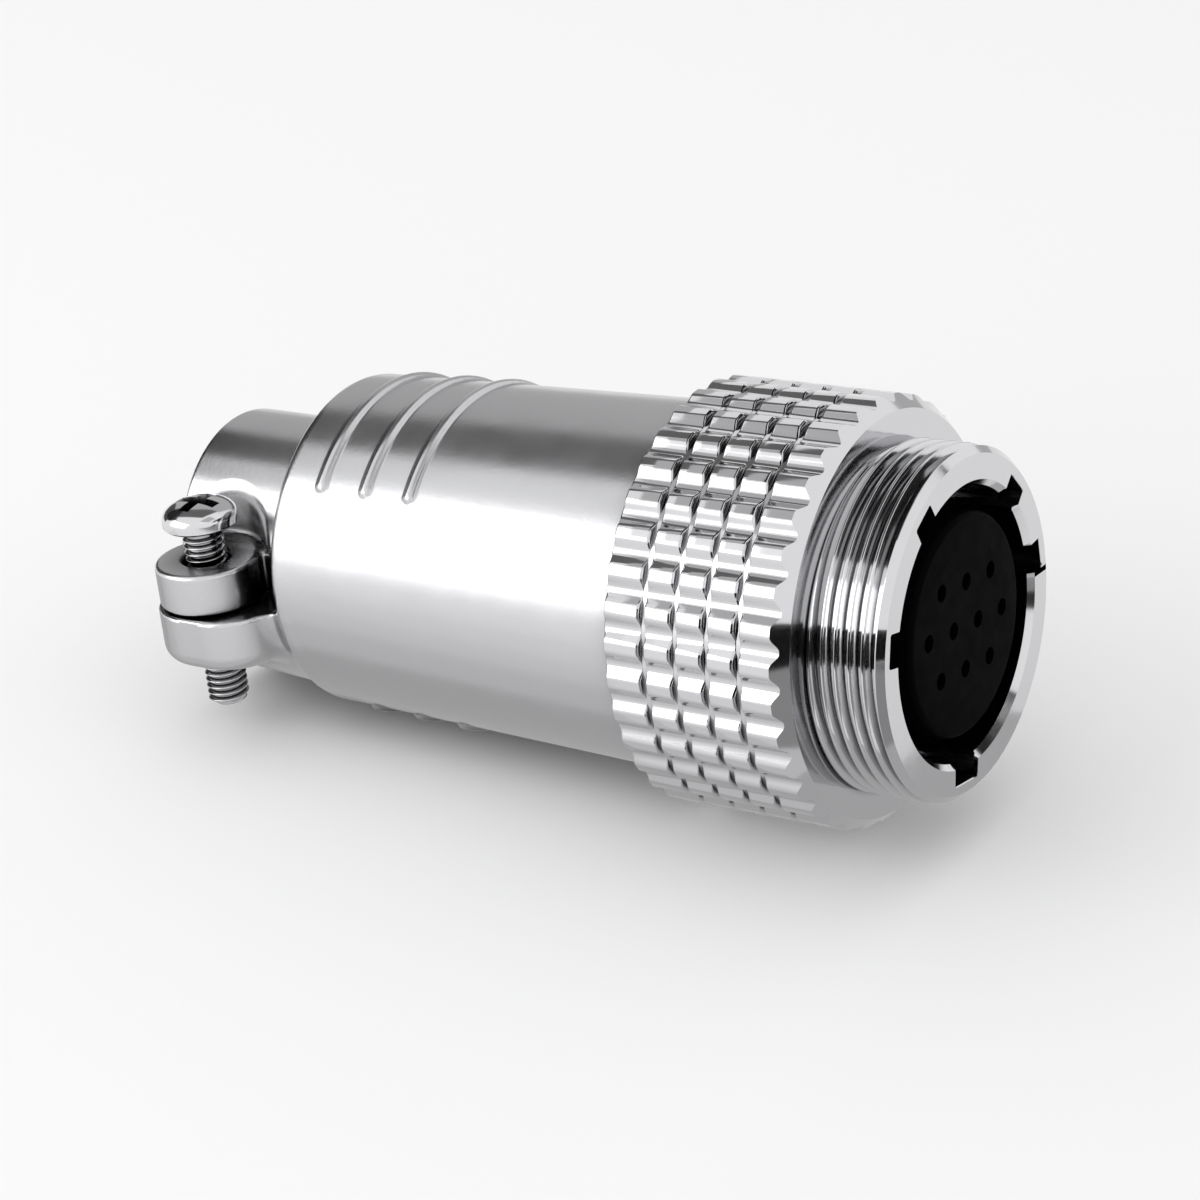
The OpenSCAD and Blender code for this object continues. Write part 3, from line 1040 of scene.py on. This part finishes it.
SHELL_FRONT_X = -19.5
SHELL_REAR_X = -49.4
CLAMP_END_X = -60.4
SCREW_X = -56.0
SCREW_Y = 10.5
PARTING_Z = -1.5
# Stations of the ribs, and half their arc over the top and round the underside
RIB_X = (-45.45, -41.6, -37.75)
RIB_HALF_DEG = {90: 50, -90: 34}
# Spigot in the front shell, sunk into the body
SPIGOT_R = 10.487
SPIGOT_END_X = -15.3
SPIGOT_SUNK = 1.0
# Room for the wires, and the end of the cable's bore in it
ROOM_R = 9.387
ROOM_END_X = -47.0
BORE_END_X = -46.0
# Trough: radius at the body, what it loses up to the rear end, and how far it is sunk into the body
TROUGH_R = 11.32
TROUGH_TAPER = 0.75
TROUGH_SUNK = 1.2
# Lower ears: radius, reach towards the body, underside, and play of the screws in their holes
EAR_R = 4.0
EAR_REACH = 1.7
EAR_BOTTOM_Z = -5.6
HOLE_PLAY = 0.05
# Roundings and fillets, named for their place
FRONT_EDGE = 0.15
TROUGH_EDGE = 0.8
TROUGH_FOOT = 0.1
EAR_EDGE = 1.3
CLAMP_EDGE = 0.3
PARTING_EDGE = 0.2
BODY_FILLET = 0.9
ROOM_EDGE = 0.2
BORE_EDGE = 0.35
HOLE_EDGE = 0.2
# Box that the shell's grid fills, and half the width of its finer bands across the ribs
SHELL_BOX = ((-61.2, -14.6), (-15.4, 15.4), (-14.0, 13.8))
RIB_BAND = 0.9


def bead(x, y, z, rib_x, middle_deg, curve_r, reach):
    """Bead along an arc of the shell, with round ends."""
    half = math.radians(RIB_HALF_DEG[middle_deg]) - curve_r / reach / 2
    middle = math.radians(middle_deg)
    away = (np.arctan2(z, y) - middle + math.pi) % (2 * math.pi) - math.pi
    at = middle + np.clip(away, -half, half)
    square = (x - rib_x) ** 2 + (y - reach * np.cos(at)) ** 2 + (z - reach * np.sin(at)) ** 2
    return np.sqrt(square) - curve_r


def back_shell_field(sizes):
    """Field of the back shell: ribbed body, trough and screw ears in one casting."""
    front_r, rear_r = sizes.shell_front_d / MM / 2, sizes.shell_rear_d / MM / 2
    taper = (front_r - rear_r) / (sizes.shell_l / MM)
    rib_w, rib_h = sizes.rib_w / MM, sizes.rib_h / MM
    curve_r = (rib_w**2 / 4 + rib_h**2) / (2 * rib_h)
    cable_r = sizes.cable_d / MM / 2
    fillet = sizes.cast_fillet / MM

    def field(x, y, z):
        r = np.hypot(y, z)
        skin = r - (front_r - taper * (SHELL_FRONT_X - x))
        solid = both(skin, SHELL_REAR_X - x, sizes.shell_round / MM)
        for rib_x in RIB_X:
            reach = front_r - taper * (SHELL_FRONT_X - rib_x) + rib_h - curve_r
            for middle in RIB_HALF_DEG:
                rib = bead(x, y, z, rib_x, middle, curve_r, reach)
                solid = either(solid, rib, sizes.rib_fillet / MM)
        solid = both(solid, x - SHELL_FRONT_X, FRONT_EDGE)
        spigot_ends = np.maximum(x - SPIGOT_END_X, SHELL_FRONT_X - SPIGOT_SUNK - x)
        solid = np.minimum(solid, np.maximum(r - SPIGOT_R, spigot_ends))
        trough_r = TROUGH_R + TROUGH_TAPER * (x - SHELL_REAR_X) / (SHELL_REAR_X - CLAMP_END_X)
        trough = both(r - trough_r, CLAMP_END_X - x, TROUGH_EDGE)
        trough = both(trough, x - SHELL_REAR_X - TROUGH_SUNK, TROUGH_FOOT)
        across = np.hypot(x - SCREW_X, np.abs(y) - SCREW_Y)
        forward = x - SCREW_X - np.clip(x - SCREW_X, 0, EAR_REACH)
        ear = both(np.hypot(forward, np.abs(y) - SCREW_Y) - EAR_R, EAR_BOTTOM_Z - z, EAR_EDGE)
        trough = both(either(trough, ear, fillet), CLAMP_END_X - x, CLAMP_EDGE)
        trough = both(trough, z - PARTING_Z, PARTING_EDGE)
        solid = either(solid, trough, BODY_FILLET)
        solid = without(solid, np.maximum(r - ROOM_R, ROOM_END_X - x), ROOM_EDGE)
        solid = without(solid, np.maximum(r - cable_r, x - BORE_END_X), BORE_EDGE)
        hole = across - sizes.screw_d / MM / 2 - HOLE_PLAY
        return without(solid, np.maximum(hole, np.maximum(z, x - SHELL_REAR_X)), HOLE_EDGE)

    return field


class CONNECTOR_OT_back_shell(bpy.types.Operator):
    """Makes the cast back shell with its ribs, trough and screw ears"""

    bl_idname = "connector.back_shell"
    bl_label = "Back shell"

    def execute(self, context):
        sizes = context.scene.connector_rear
        material = nickel_on_casting(context.scene.connector_finish)
        step = sizes.shell_grid / MM
        (left, right), *sides = SHELL_BOX
        # The grid is finer along the axis where it crosses the ribs
        fine = [np.arange(x - RIB_BAND, x + RIB_BAND, step / 2) for x in RIB_X]
        stops = [left, *(end for axis in fine for end in (axis[0], axis[-1])), right]
        gaps = zip(stops[::2], stops[1::2])
        plain = [np.linspace(a, b, round((b - a) / step))[1:-1] for a, b in gaps]
        along = np.sort(np.concatenate([*plain, *fine, (left, right)]))
        axes = [along, *(np.arange(a, b + step, step) for a, b in sides)]
        mesh = cast_mesh("back_shell_dressed", back_shell_field(sizes), axes)
        set_piece("back_shell_dressed", mesh, material, "plated_shell", "housing", "back_shell")
        return {"FINISHED"}


# Saddle, in millimetres

SADDLE_FRONT_X = -49.9
SADDLE_BOTTOM_Z = -1.3
# Ears: top, radius, radius of the hole, and half the width of the web that joins them to the arch
SADDLE_EAR_Z = 1.8
SADDLE_EAR_R = 3.8
SADDLE_HOLE_R = 1.7
WEB_HALF = 2.0
# Room for the screw head in the arch
POCKET_R = 4.25
# Roundings and fillets, named for their place
ARCH_ENDS = 0.4
ARCH_EDGE = 0.45
POCKET_EDGE = 0.5
SADDLE_EAR_EDGE = 0.35
SADDLE_EAR_FILLET = 0.5
SADDLE_BOTTOM_EDGE = 0.2
SADDLE_BORE_EDGE = 0.4
SADDLE_HOLE_EDGE = 0.4
# Box that the saddle's grid fills
SADDLE_BOX = ((-61.0, -49.2), (-15.0, 15.0), (-2.0, 9.2))


def saddle_field(sizes):
    """Field of the saddle: an arch over the cable with an ear at each side."""
    outer, inner = sizes.saddle_d / MM / 2, sizes.cable_d / MM / 2

    def field(x, y, z):
        r = np.hypot(y, z)
        ends = both(x - SADDLE_FRONT_X, CLAMP_END_X - x, ARCH_ENDS)
        arch = both(r - outer, ends, ARCH_EDGE)
        across = np.hypot(x - SCREW_X, np.abs(y) - SCREW_Y)
        over_ear = z - SADDLE_EAR_Z
        arch = without(arch, np.maximum(across - POCKET_R, -over_ear), POCKET_EDGE)
        ear = both(across - SADDLE_EAR_R, over_ear, SADDLE_EAR_EDGE)
        web = np.maximum(np.abs(x - SCREW_X) - WEB_HALF, np.abs(y) - SCREW_Y)
        web = np.maximum(web, over_ear)
        solid = either(arch, np.minimum(ear, web), SADDLE_EAR_FILLET)
        solid = both(solid, SADDLE_BOTTOM_Z - z, SADDLE_BOTTOM_EDGE)
        solid = without(solid, r - inner, SADDLE_BORE_EDGE)
        return without(solid, across - SADDLE_HOLE_R, SADDLE_HOLE_EDGE)

    return field


class CONNECTOR_OT_cable_saddle(bpy.types.Operator):
    """Makes the loose upper half of the cable clamp"""

    bl_idname = "connector.cable_saddle"
    bl_label = "Cable saddle"

    def execute(self, context):
        sizes = context.scene.connector_rear
        material = nickel_on_casting(context.scene.connector_finish)
        step = sizes.saddle_grid / MM
        axes = [np.arange(a, b + step, step) for a, b in SADDLE_BOX]
        mesh = cast_mesh("cable_saddle_dressed", saddle_field(sizes), axes)
        set_piece("cable_saddle_dressed", mesh, material, "plated_shell", "saddle", "cable_saddle")
        return {"FINISHED"}


# Clamp screws, in millimetres

HEAD_Z = 4.4
SCREW_L = 14.0
SCREW_THREAD_DEPTH = 0.29
# The thread starts a little above the tip and is shorter than the shank
SCREW_THREAD_START = 0.15
SCREW_THREAD_SHORT = 0.5
SCREW_THREAD_SUNK = 0.05
TIP_CHAMFER = 0.25
# Head: fillet under it, lower edge, height of its side, height and fullness of its dome
HEAD_FILLET = 0.12
HEAD_EDGE = 0.15
HEAD_SIDE = 0.6
DOME_H = 1.2
DOME_POWER = 0.8
# Cross recess: length and width of a wing, depth, and height of its foot over the head's seat
RECESS_SPAN = 3.6
RECESS_SLOT = 0.95
RECESS_DEPTH = 1.4
RECESS_FOOT = 0.5


def recess_tree(material):
    """Tree that sinks a tapered cross into the top of the head."""
    tree, given = new_tree(
        "cross_recess", [("Span", "Float"), ("Slot", "Float"), ("Depth", "Float"), ("Foot", "Float")]
    )
    wing = add_node(
        tree,
        "GeometryNodeMeshCone",
        {"Vertices": 4, "Radius Top": math.sqrt(0.5), "Radius Bottom": 0.5, "Depth": 1.0},
    )
    size = add_node(
        tree, "ShaderNodeCombineXYZ", {"X": given["Span"], "Y": given["Slot"], "Z": given["Depth"]}
    )
    squared = add_node(
        tree,
        "GeometryNodeTransform",
        {"Geometry": wing.outputs["Mesh"], "Rotation": (0, 0, math.pi / 4)},
    )
    sized = add_node(
        tree,
        "GeometryNodeTransform",
        {"Geometry": squared.outputs["Geometry"], "Scale": size.outputs["Vector"]},
    )
    start = add_node(tree, "ShaderNodeCombineXYZ", {"Z": given["Foot"]})
    line = add_node(
        tree,
        "GeometryNodeMeshLine",
        {"Count": 2, "Start Location": start.outputs["Vector"], "Offset": (0, 0, 0)},
    )
    index = add_node(tree, "GeometryNodeInputIndex")
    angle = add_node(
        tree, "ShaderNodeMath", {0: index.outputs["Index"], 1: math.pi / 2}, operation="MULTIPLY"
    )
    euler = add_node(tree, "ShaderNodeCombineXYZ", {"Z": angle.outputs["Value"]})
    wings = add_node(
        tree,
        "GeometryNodeInstanceOnPoints",
        {
            "Points": line.outputs["Mesh"],
            "Instance": sized.outputs["Geometry"],
            "Rotation": euler.outputs["Vector"],
        },
    )
    cut = add_node(
        tree,
        "GeometryNodeMeshBoolean",
        {"Mesh 1": given["Geometry"], "Mesh 2": wings.outputs["Instances"], "Self Intersection": True},
        operation="DIFFERENCE",
        solver="EXACT",
    )
    end_tree(tree, cut.outputs["Mesh"], material)
    return tree


def screw_body(sizes):
    """Pan head and core of one screw about the Z axis."""
    root_r = sizes.screw_d / MM / 2 - SCREW_THREAD_DEPTH
    head_r = sizes.head_d / MM / 2
    angles = full_turn(64)
    outline = [
        (HEAD_Z - SCREW_L, root_r - TIP_CHAMFER),
        (HEAD_Z - SCREW_L + TIP_CHAMFER, root_r),
        (HEAD_Z - HEAD_FILLET, root_r),
        (HEAD_Z, root_r + HEAD_FILLET),
        (HEAD_Z, head_r - HEAD_EDGE),
        (HEAD_Z + HEAD_EDGE, head_r),
        (HEAD_Z + HEAD_SIDE, head_r),
    ]
    for k in range(1, 12):
        a = math.radians(8 * k)
        z = HEAD_Z + HEAD_SIDE + DOME_H * math.sin(a)
        outline.append((z, head_r * math.cos(a) ** DOME_POWER))
    points = np.vstack([about_z(z, r, angles) for z, r in outline])
    return mesh_of("screw_body", points, capped(len(outline), len(angles), rising=True))


class CONNECTOR_OT_clamp_screws(bpy.types.Operator):
    """Makes the two clamp screws with their cross recess and thread"""

    bl_idname = "connector.clamp_screws"
    bl_label = "Clamp screws"

    def execute(self, context):
        sizes = context.scene.connector_rear
        material = zinc_on_screw(context.scene.connector_finish)
        recess = recess_tree(material)
        cross = {
            "Span": RECESS_SPAN * MM,
            "Slot": RECESS_SLOT * MM,
            "Depth": RECESS_DEPTH * MM,
            "Foot": (HEAD_Z + RECESS_FOOT) * MM,
        }
        crest_r, pitch = sizes.screw_d / MM / 2, sizes.screw_pitch / MM
        root_r, run = crest_r - SCREW_THREAD_DEPTH, SCREW_L - SCREW_THREAD_SHORT
        start_z = HEAD_Z - SCREW_L + SCREW_THREAD_START
        for name, side, body in (("clamp_screw_1", -1, "screw_near"), ("clamp_screw_2", 1, "screw_far")):
            head = grown(screw_body(sizes), recess, cross)
            thread = thread_ridge(material, crest_r, root_r, pitch, run, SCREW_THREAD_SUNK)
            thread.transform(Matrix.Translation((0, 0, start_z * MM)))
            mesh = joined(name + "_dressed", [head, thread])
            mesh.transform(Matrix.Translation((SCREW_X * MM, side * SCREW_Y * MM, 0)))
            smooth_by_angle(mesh)
            set_piece(name + "_dressed", mesh, material, "bright_screw", body, name)
        return {"FINISHED"}


# Inner parts


class CONNECTOR_OT_inner_parts(bpy.types.Operator):
    """Gives the contacts, the rear insert and the retaining ring their finishes"""

    bl_idname = "connector.inner_parts"
    bl_label = "Inner parts"

    def execute(self, context):
        finishes = context.scene.connector_finish
        gold, steel = gold_on_contact(finishes), bare_spring_steel(finishes)
        black = bpy.data.materials.get("black_phenolic_moulding") or black_phenolic(finishes)
        single = {"insert_rear": black, "retaining_ring": steel}
        for name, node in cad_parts.items():
            finish = gold if name.startswith("socket_contact") else single.get(name)
            if finish:
                node.data.materials.clear()
                node.data.materials.append(finish)
        return {"FINISHED"}


# Stage

# Camera: place in millimetres, and the directions of its picture
CAMERA_AT = (102.44, -185.53, 94.82)
CAMERA_RIGHT = (0.83636, 0.53724, -0.10896)
CAMERA_DOWN = (0.12919, -0.38634, -0.91327)
CAMERA_LOOK = (-0.53274, 0.74974, -0.39252)
# Floor: a point on it in millimetres, its slope along the connector, and its half width in metres
FLOOR_POINT = (-18.9, 0.0, -14.80)
FLOOR_PITCH = math.radians(4.76)
FLOOR_REACH = 3.0
# Height of a lying card over the floor, in millimetres
CARD_GAP = 0.3
# Painted shadow on the floor, seen in reflections only, in strips: right end, near and far edge in
# metres, and level
STRIPS_LEFT = -0.09
FLOOR_STRIPS = (
    (0.004, -0.045, -0.03, 0.86),
    (0.004, -0.03, -0.022, 0.76),
    (0.004, -0.022, -0.015, 0.64),
    (0.012, -0.015, 0.02, 0.48),
)


def matt(name, tone):
    """Plain matt material of the stage."""
    material, _, shader = new_material(name)
    shader.inputs["Base Color"].default_value = rgba(tone)
    shader.inputs["Roughness"].default_value = 0.9
    shader.inputs["Specular IOR Level"].default_value = 0.1
    return material


def card(name, points, columns, level):
    """Card of the stage with an even glow, seen in the plating's reflections only: a painted reflection,
    since it lights nothing and casts no shadow.
    """
    material = bpy.data.materials.new(name)
    material.use_nodes = True
    tree = material.node_tree
    tree.nodes.clear()
    glow = add_node(tree, "ShaderNodeEmission", {"Color": (level, level, level, 1.0)})
    add_node(tree, "ShaderNodeOutputMaterial", {"Surface": glow.outputs["Emission"]})
    faces = [(i, i + 1, columns + i + 1, columns + i) for i in range(columns - 1)]
    mesh = bpy.data.meshes.new(name)
    mesh.from_pydata([tuple(p) for p in points], [], faces)
    mesh.materials.append(material)
    sheet = bpy.data.objects.new(name, mesh)
    bpy.context.scene.collection.objects.link(sheet)
    sheet.visible_camera = False
    sheet.visible_diffuse = False
    sheet.visible_shadow = False


def arched_card(name, first_deg, last_deg, radius, left, right, level):
    """Card bent round the connector's axis, at angles from the front over the top to the back."""
    angles = [math.radians(a) for a in np.linspace(first_deg, last_deg, 25)]
    edge = [(-radius * math.cos(a), radius * math.sin(a)) for a in angles]
    card(name, [(x, y, z) for x in (left, right) for y, z in edge], len(angles), level)


def upright_card(name, start, end, bottom, top, level):
    """Flat card that stands between two points of the plan."""
    card(name, [(*plan, z) for z in (bottom, top) for plan in (start, end)], 2, level)


def lying_card(name, left, right, near, far, level):
    """Card that lies on the floor, where it paints shadow seen in reflections only."""
    tilt = math.tan(FLOOR_PITCH)
    base = (FLOOR_POINT[2] + CARD_GAP) * MM
    edge = [(x, base - (x - FLOOR_POINT[0] * MM) * tilt) for x in (left, right)]
    card(name, [(x, y, z) for x, z in edge for y in (near, far)], 2, level)


def facing(place, aim):
    """Matrix at a place whose -Z axis points at another."""
    place, aim = Vector(place), Vector(aim)
    return Matrix.Translation(place) @ (aim - place).to_track_quat("-Z", "Y").to_matrix().to_4x4()


def softbox(name, place, aim, width, height, watts):
    """Rectangular lamp that faces a point."""
    lamp = bpy.data.lights.new(name, "AREA")
    lamp.shape = "RECTANGLE"
    lamp.size, lamp.size_y = width, height
    lamp.energy = watts
    holder = bpy.data.objects.new(name, lamp)
    bpy.context.scene.collection.objects.link(holder)
    holder.matrix_world = facing(place, aim)


def studio_world():
    """White surroundings for the camera and for reflections, softer light for matt surfaces."""
    world = bpy.data.worlds.new("studio")
    bpy.context.scene.world = world
    world.use_nodes = True
    tree = world.node_tree
    tree.nodes.clear()
    path = add_node(tree, "ShaderNodeLightPath")
    sharp = add_node(
        tree,
        "ShaderNodeMath",
        {0: path.outputs["Is Camera Ray"], 1: path.outputs["Is Glossy Ray"]},
        operation="MAXIMUM",
    )
    seen = add_node(
        tree,
        "ShaderNodeMath",
        {0: sharp.outputs["Value"], 1: path.outputs["Is Transmission Ray"]},
        operation="MAXIMUM",
    )
    dim = add_node(tree, "ShaderNodeBackground", {"Color": (1, 1, 1, 1), "Strength": 0.92})
    white = add_node(tree, "ShaderNodeBackground", {"Color": (1, 1, 1, 1), "Strength": 1.0})
    mix = add_node(
        tree,
        "ShaderNodeMixShader",
        {0: seen.outputs["Value"], 1: dim.outputs["Background"], 2: white.outputs["Background"]},
    )
    add_node(tree, "ShaderNodeOutputWorld", {"Surface": mix.outputs["Shader"]})


def set_cards():
    """Sets the cards that paint reflections and shadow seen in reflections: angles in degrees, places in
    metres, and last the level.
    """
    # Painted reflections: bands along the whole connector, over it and behind it
    arched_card("dark_strip_over", 86, 120, 0.45, -0.8, 0.0, 0.15)
    arched_card("grey_card_behind", 120, 178, 0.45, -0.9, 0.05, 0.5)
    # Painted reflections: dark ends at the left and the right, and low cards before the rim and the
    # thread
    upright_card("dark_card_left", (-0.6, -0.05), (-0.6, 0.6), -0.01, 0.45, 0.08)
    upright_card("dark_card_right", (0.47, 0.02), (0.26, 0.42), 0.01, 0.33, 0.02)
    upright_card("low_card_right", (0.1, -0.07), (0.1, 0.04), -0.024, -0.006, 0.02)
    upright_card("low_card_front", (-0.0103, -0.022), (0.03, -0.022), -0.0005, 0.0065, 0.01)
    # Painted reflections: dark bands in the thread and the ribs, and a painted highlight with grey and
    # pale bands on the grip ring
    arched_card("dark_strip_thread", 52, 119, 0.034, -0.0158, 0.002, 0.01)
    arched_card("dark_card_ribs", 60, 125, 0.1, -0.3, -0.135, 0.02)
    arched_card("white_card_ring", 42, 54, 0.05, -0.0415, -0.016, 1.1)
    arched_card("grey_card_ring", 54, 84, 0.05, -0.0415, -0.012, 0.55)
    arched_card("pale_card_ring", 104, 165, 0.05, -0.0415, -0.012, 0.95)
    # Painted shadow on the floor, seen in reflections only
    lying_card("painted_shadow_right", 0.004, 0.2, -0.15, -0.015, 0.3)
    for right, near, far, level in FLOOR_STRIPS:
        lying_card("painted_floor_shadow", STRIPS_LEFT, right, near, far, level)


class CONNECTOR_OT_stage(bpy.types.Operator):
    """Sets the floor, the studio light and the camera"""

    bl_idname = "connector.stage"
    bl_label = "Stage"

    def execute(self, context):
        scene = context.scene
        finishes = scene.connector_finish
        floor_mesh = bpy.data.meshes.new("floor")
        sides = ((-1, -1), (1, -1), (1, 1), (-1, 1))
        corners = [(x * FLOOR_REACH, y * FLOOR_REACH, 0) for x, y in sides]
        floor_mesh.from_pydata(corners, [], [(0, 1, 2, 3)])
        floor_mesh.materials.append(matt("white_paper", finishes.floor))
        floor = bpy.data.objects.new("floor", floor_mesh)
        scene.collection.objects.link(floor)
        place = Matrix.Translation([c * MM for c in FLOOR_POINT])
        floor.matrix_world = place @ Matrix.Rotation(FLOOR_PITCH, 4, "Y")

        studio_world()
        set_cards()
        middle = (-0.030, 0.0, 0.0)
        softbox("key_softbox", (-0.40, -0.525, 0.275), middle, width=0.7, height=0.49, watts=1.9)

        camera_data = bpy.data.cameras.new("camera")
        camera_data.sensor_width = 36
        camera_data.lens = 105
        camera_data.clip_start = 0.01
        camera_data.clip_end = 20
        camera = bpy.data.objects.new("camera", camera_data)
        scene.collection.objects.link(camera)
        up, back = [-c for c in CAMERA_DOWN], [-c for c in CAMERA_LOOK]
        turn_to = Matrix((CAMERA_RIGHT, up, back)).transposed()
        camera.matrix_world = Matrix.Translation([c * MM for c in CAMERA_AT]) @ turn_to.to_4x4()
        scene.camera = camera
        scene.view_settings.view_transform = "Standard"
        return {"FINISHED"}


class CONNECTOR_PT_panel(bpy.types.Panel):
    """Lists the connector's sizes, finishes and pieces"""

    bl_label = "Cable connector"
    bl_idname = "CONNECTOR_PT_panel"
    bl_space_type = "VIEW_3D"
    bl_region_type = "UI"
    bl_category = "Connector"

    def draw(self, context):
        for group in ("connector_front", "connector_rear", "connector_finish"):
            sizes = getattr(context.scene, group)
            box = self.layout.box()
            for name in sizes.bl_rna.properties.keys():
                if name not in ("rna_type", "name"):
                    box.prop(sizes, name)
        for operator in OPERATORS:
            self.layout.operator(operator.bl_idname)


OPERATORS = (
    CONNECTOR_OT_front_shell,
    CONNECTOR_OT_front_insert,
    CONNECTOR_OT_back_shell,
    CONNECTOR_OT_cable_saddle,
    CONNECTOR_OT_clamp_screws,
    CONNECTOR_OT_inner_parts,
    CONNECTOR_OT_stage,
)
CLASSES = (FrontShellSizes, RearSizes, Finishes, *OPERATORS, CONNECTOR_PT_panel)


def register():
    """Registers the classes and hangs the property groups on the scene."""
    for cls in CLASSES:
        bpy.utils.register_class(cls)
    bpy.types.Scene.connector_front = bpy.props.PointerProperty(type=FrontShellSizes)
    bpy.types.Scene.connector_rear = bpy.props.PointerProperty(type=RearSizes)
    bpy.types.Scene.connector_finish = bpy.props.PointerProperty(type=Finishes)


def unregister():
    """Takes the property groups and the classes away again."""
    del bpy.types.Scene.connector_finish
    del bpy.types.Scene.connector_rear
    del bpy.types.Scene.connector_front
    for cls in reversed(CLASSES):
        bpy.utils.unregister_class(cls)


def main():
    """Makes every piece and the stage."""
    register()
    bpy.ops.connector.front_shell()
    bpy.ops.connector.front_insert()
    bpy.ops.connector.back_shell()
    bpy.ops.connector.cable_saddle()
    bpy.ops.connector.clamp_screws()
    bpy.ops.connector.inner_parts()
    bpy.ops.connector.stage()


if __name__ == "__main__":
    main()
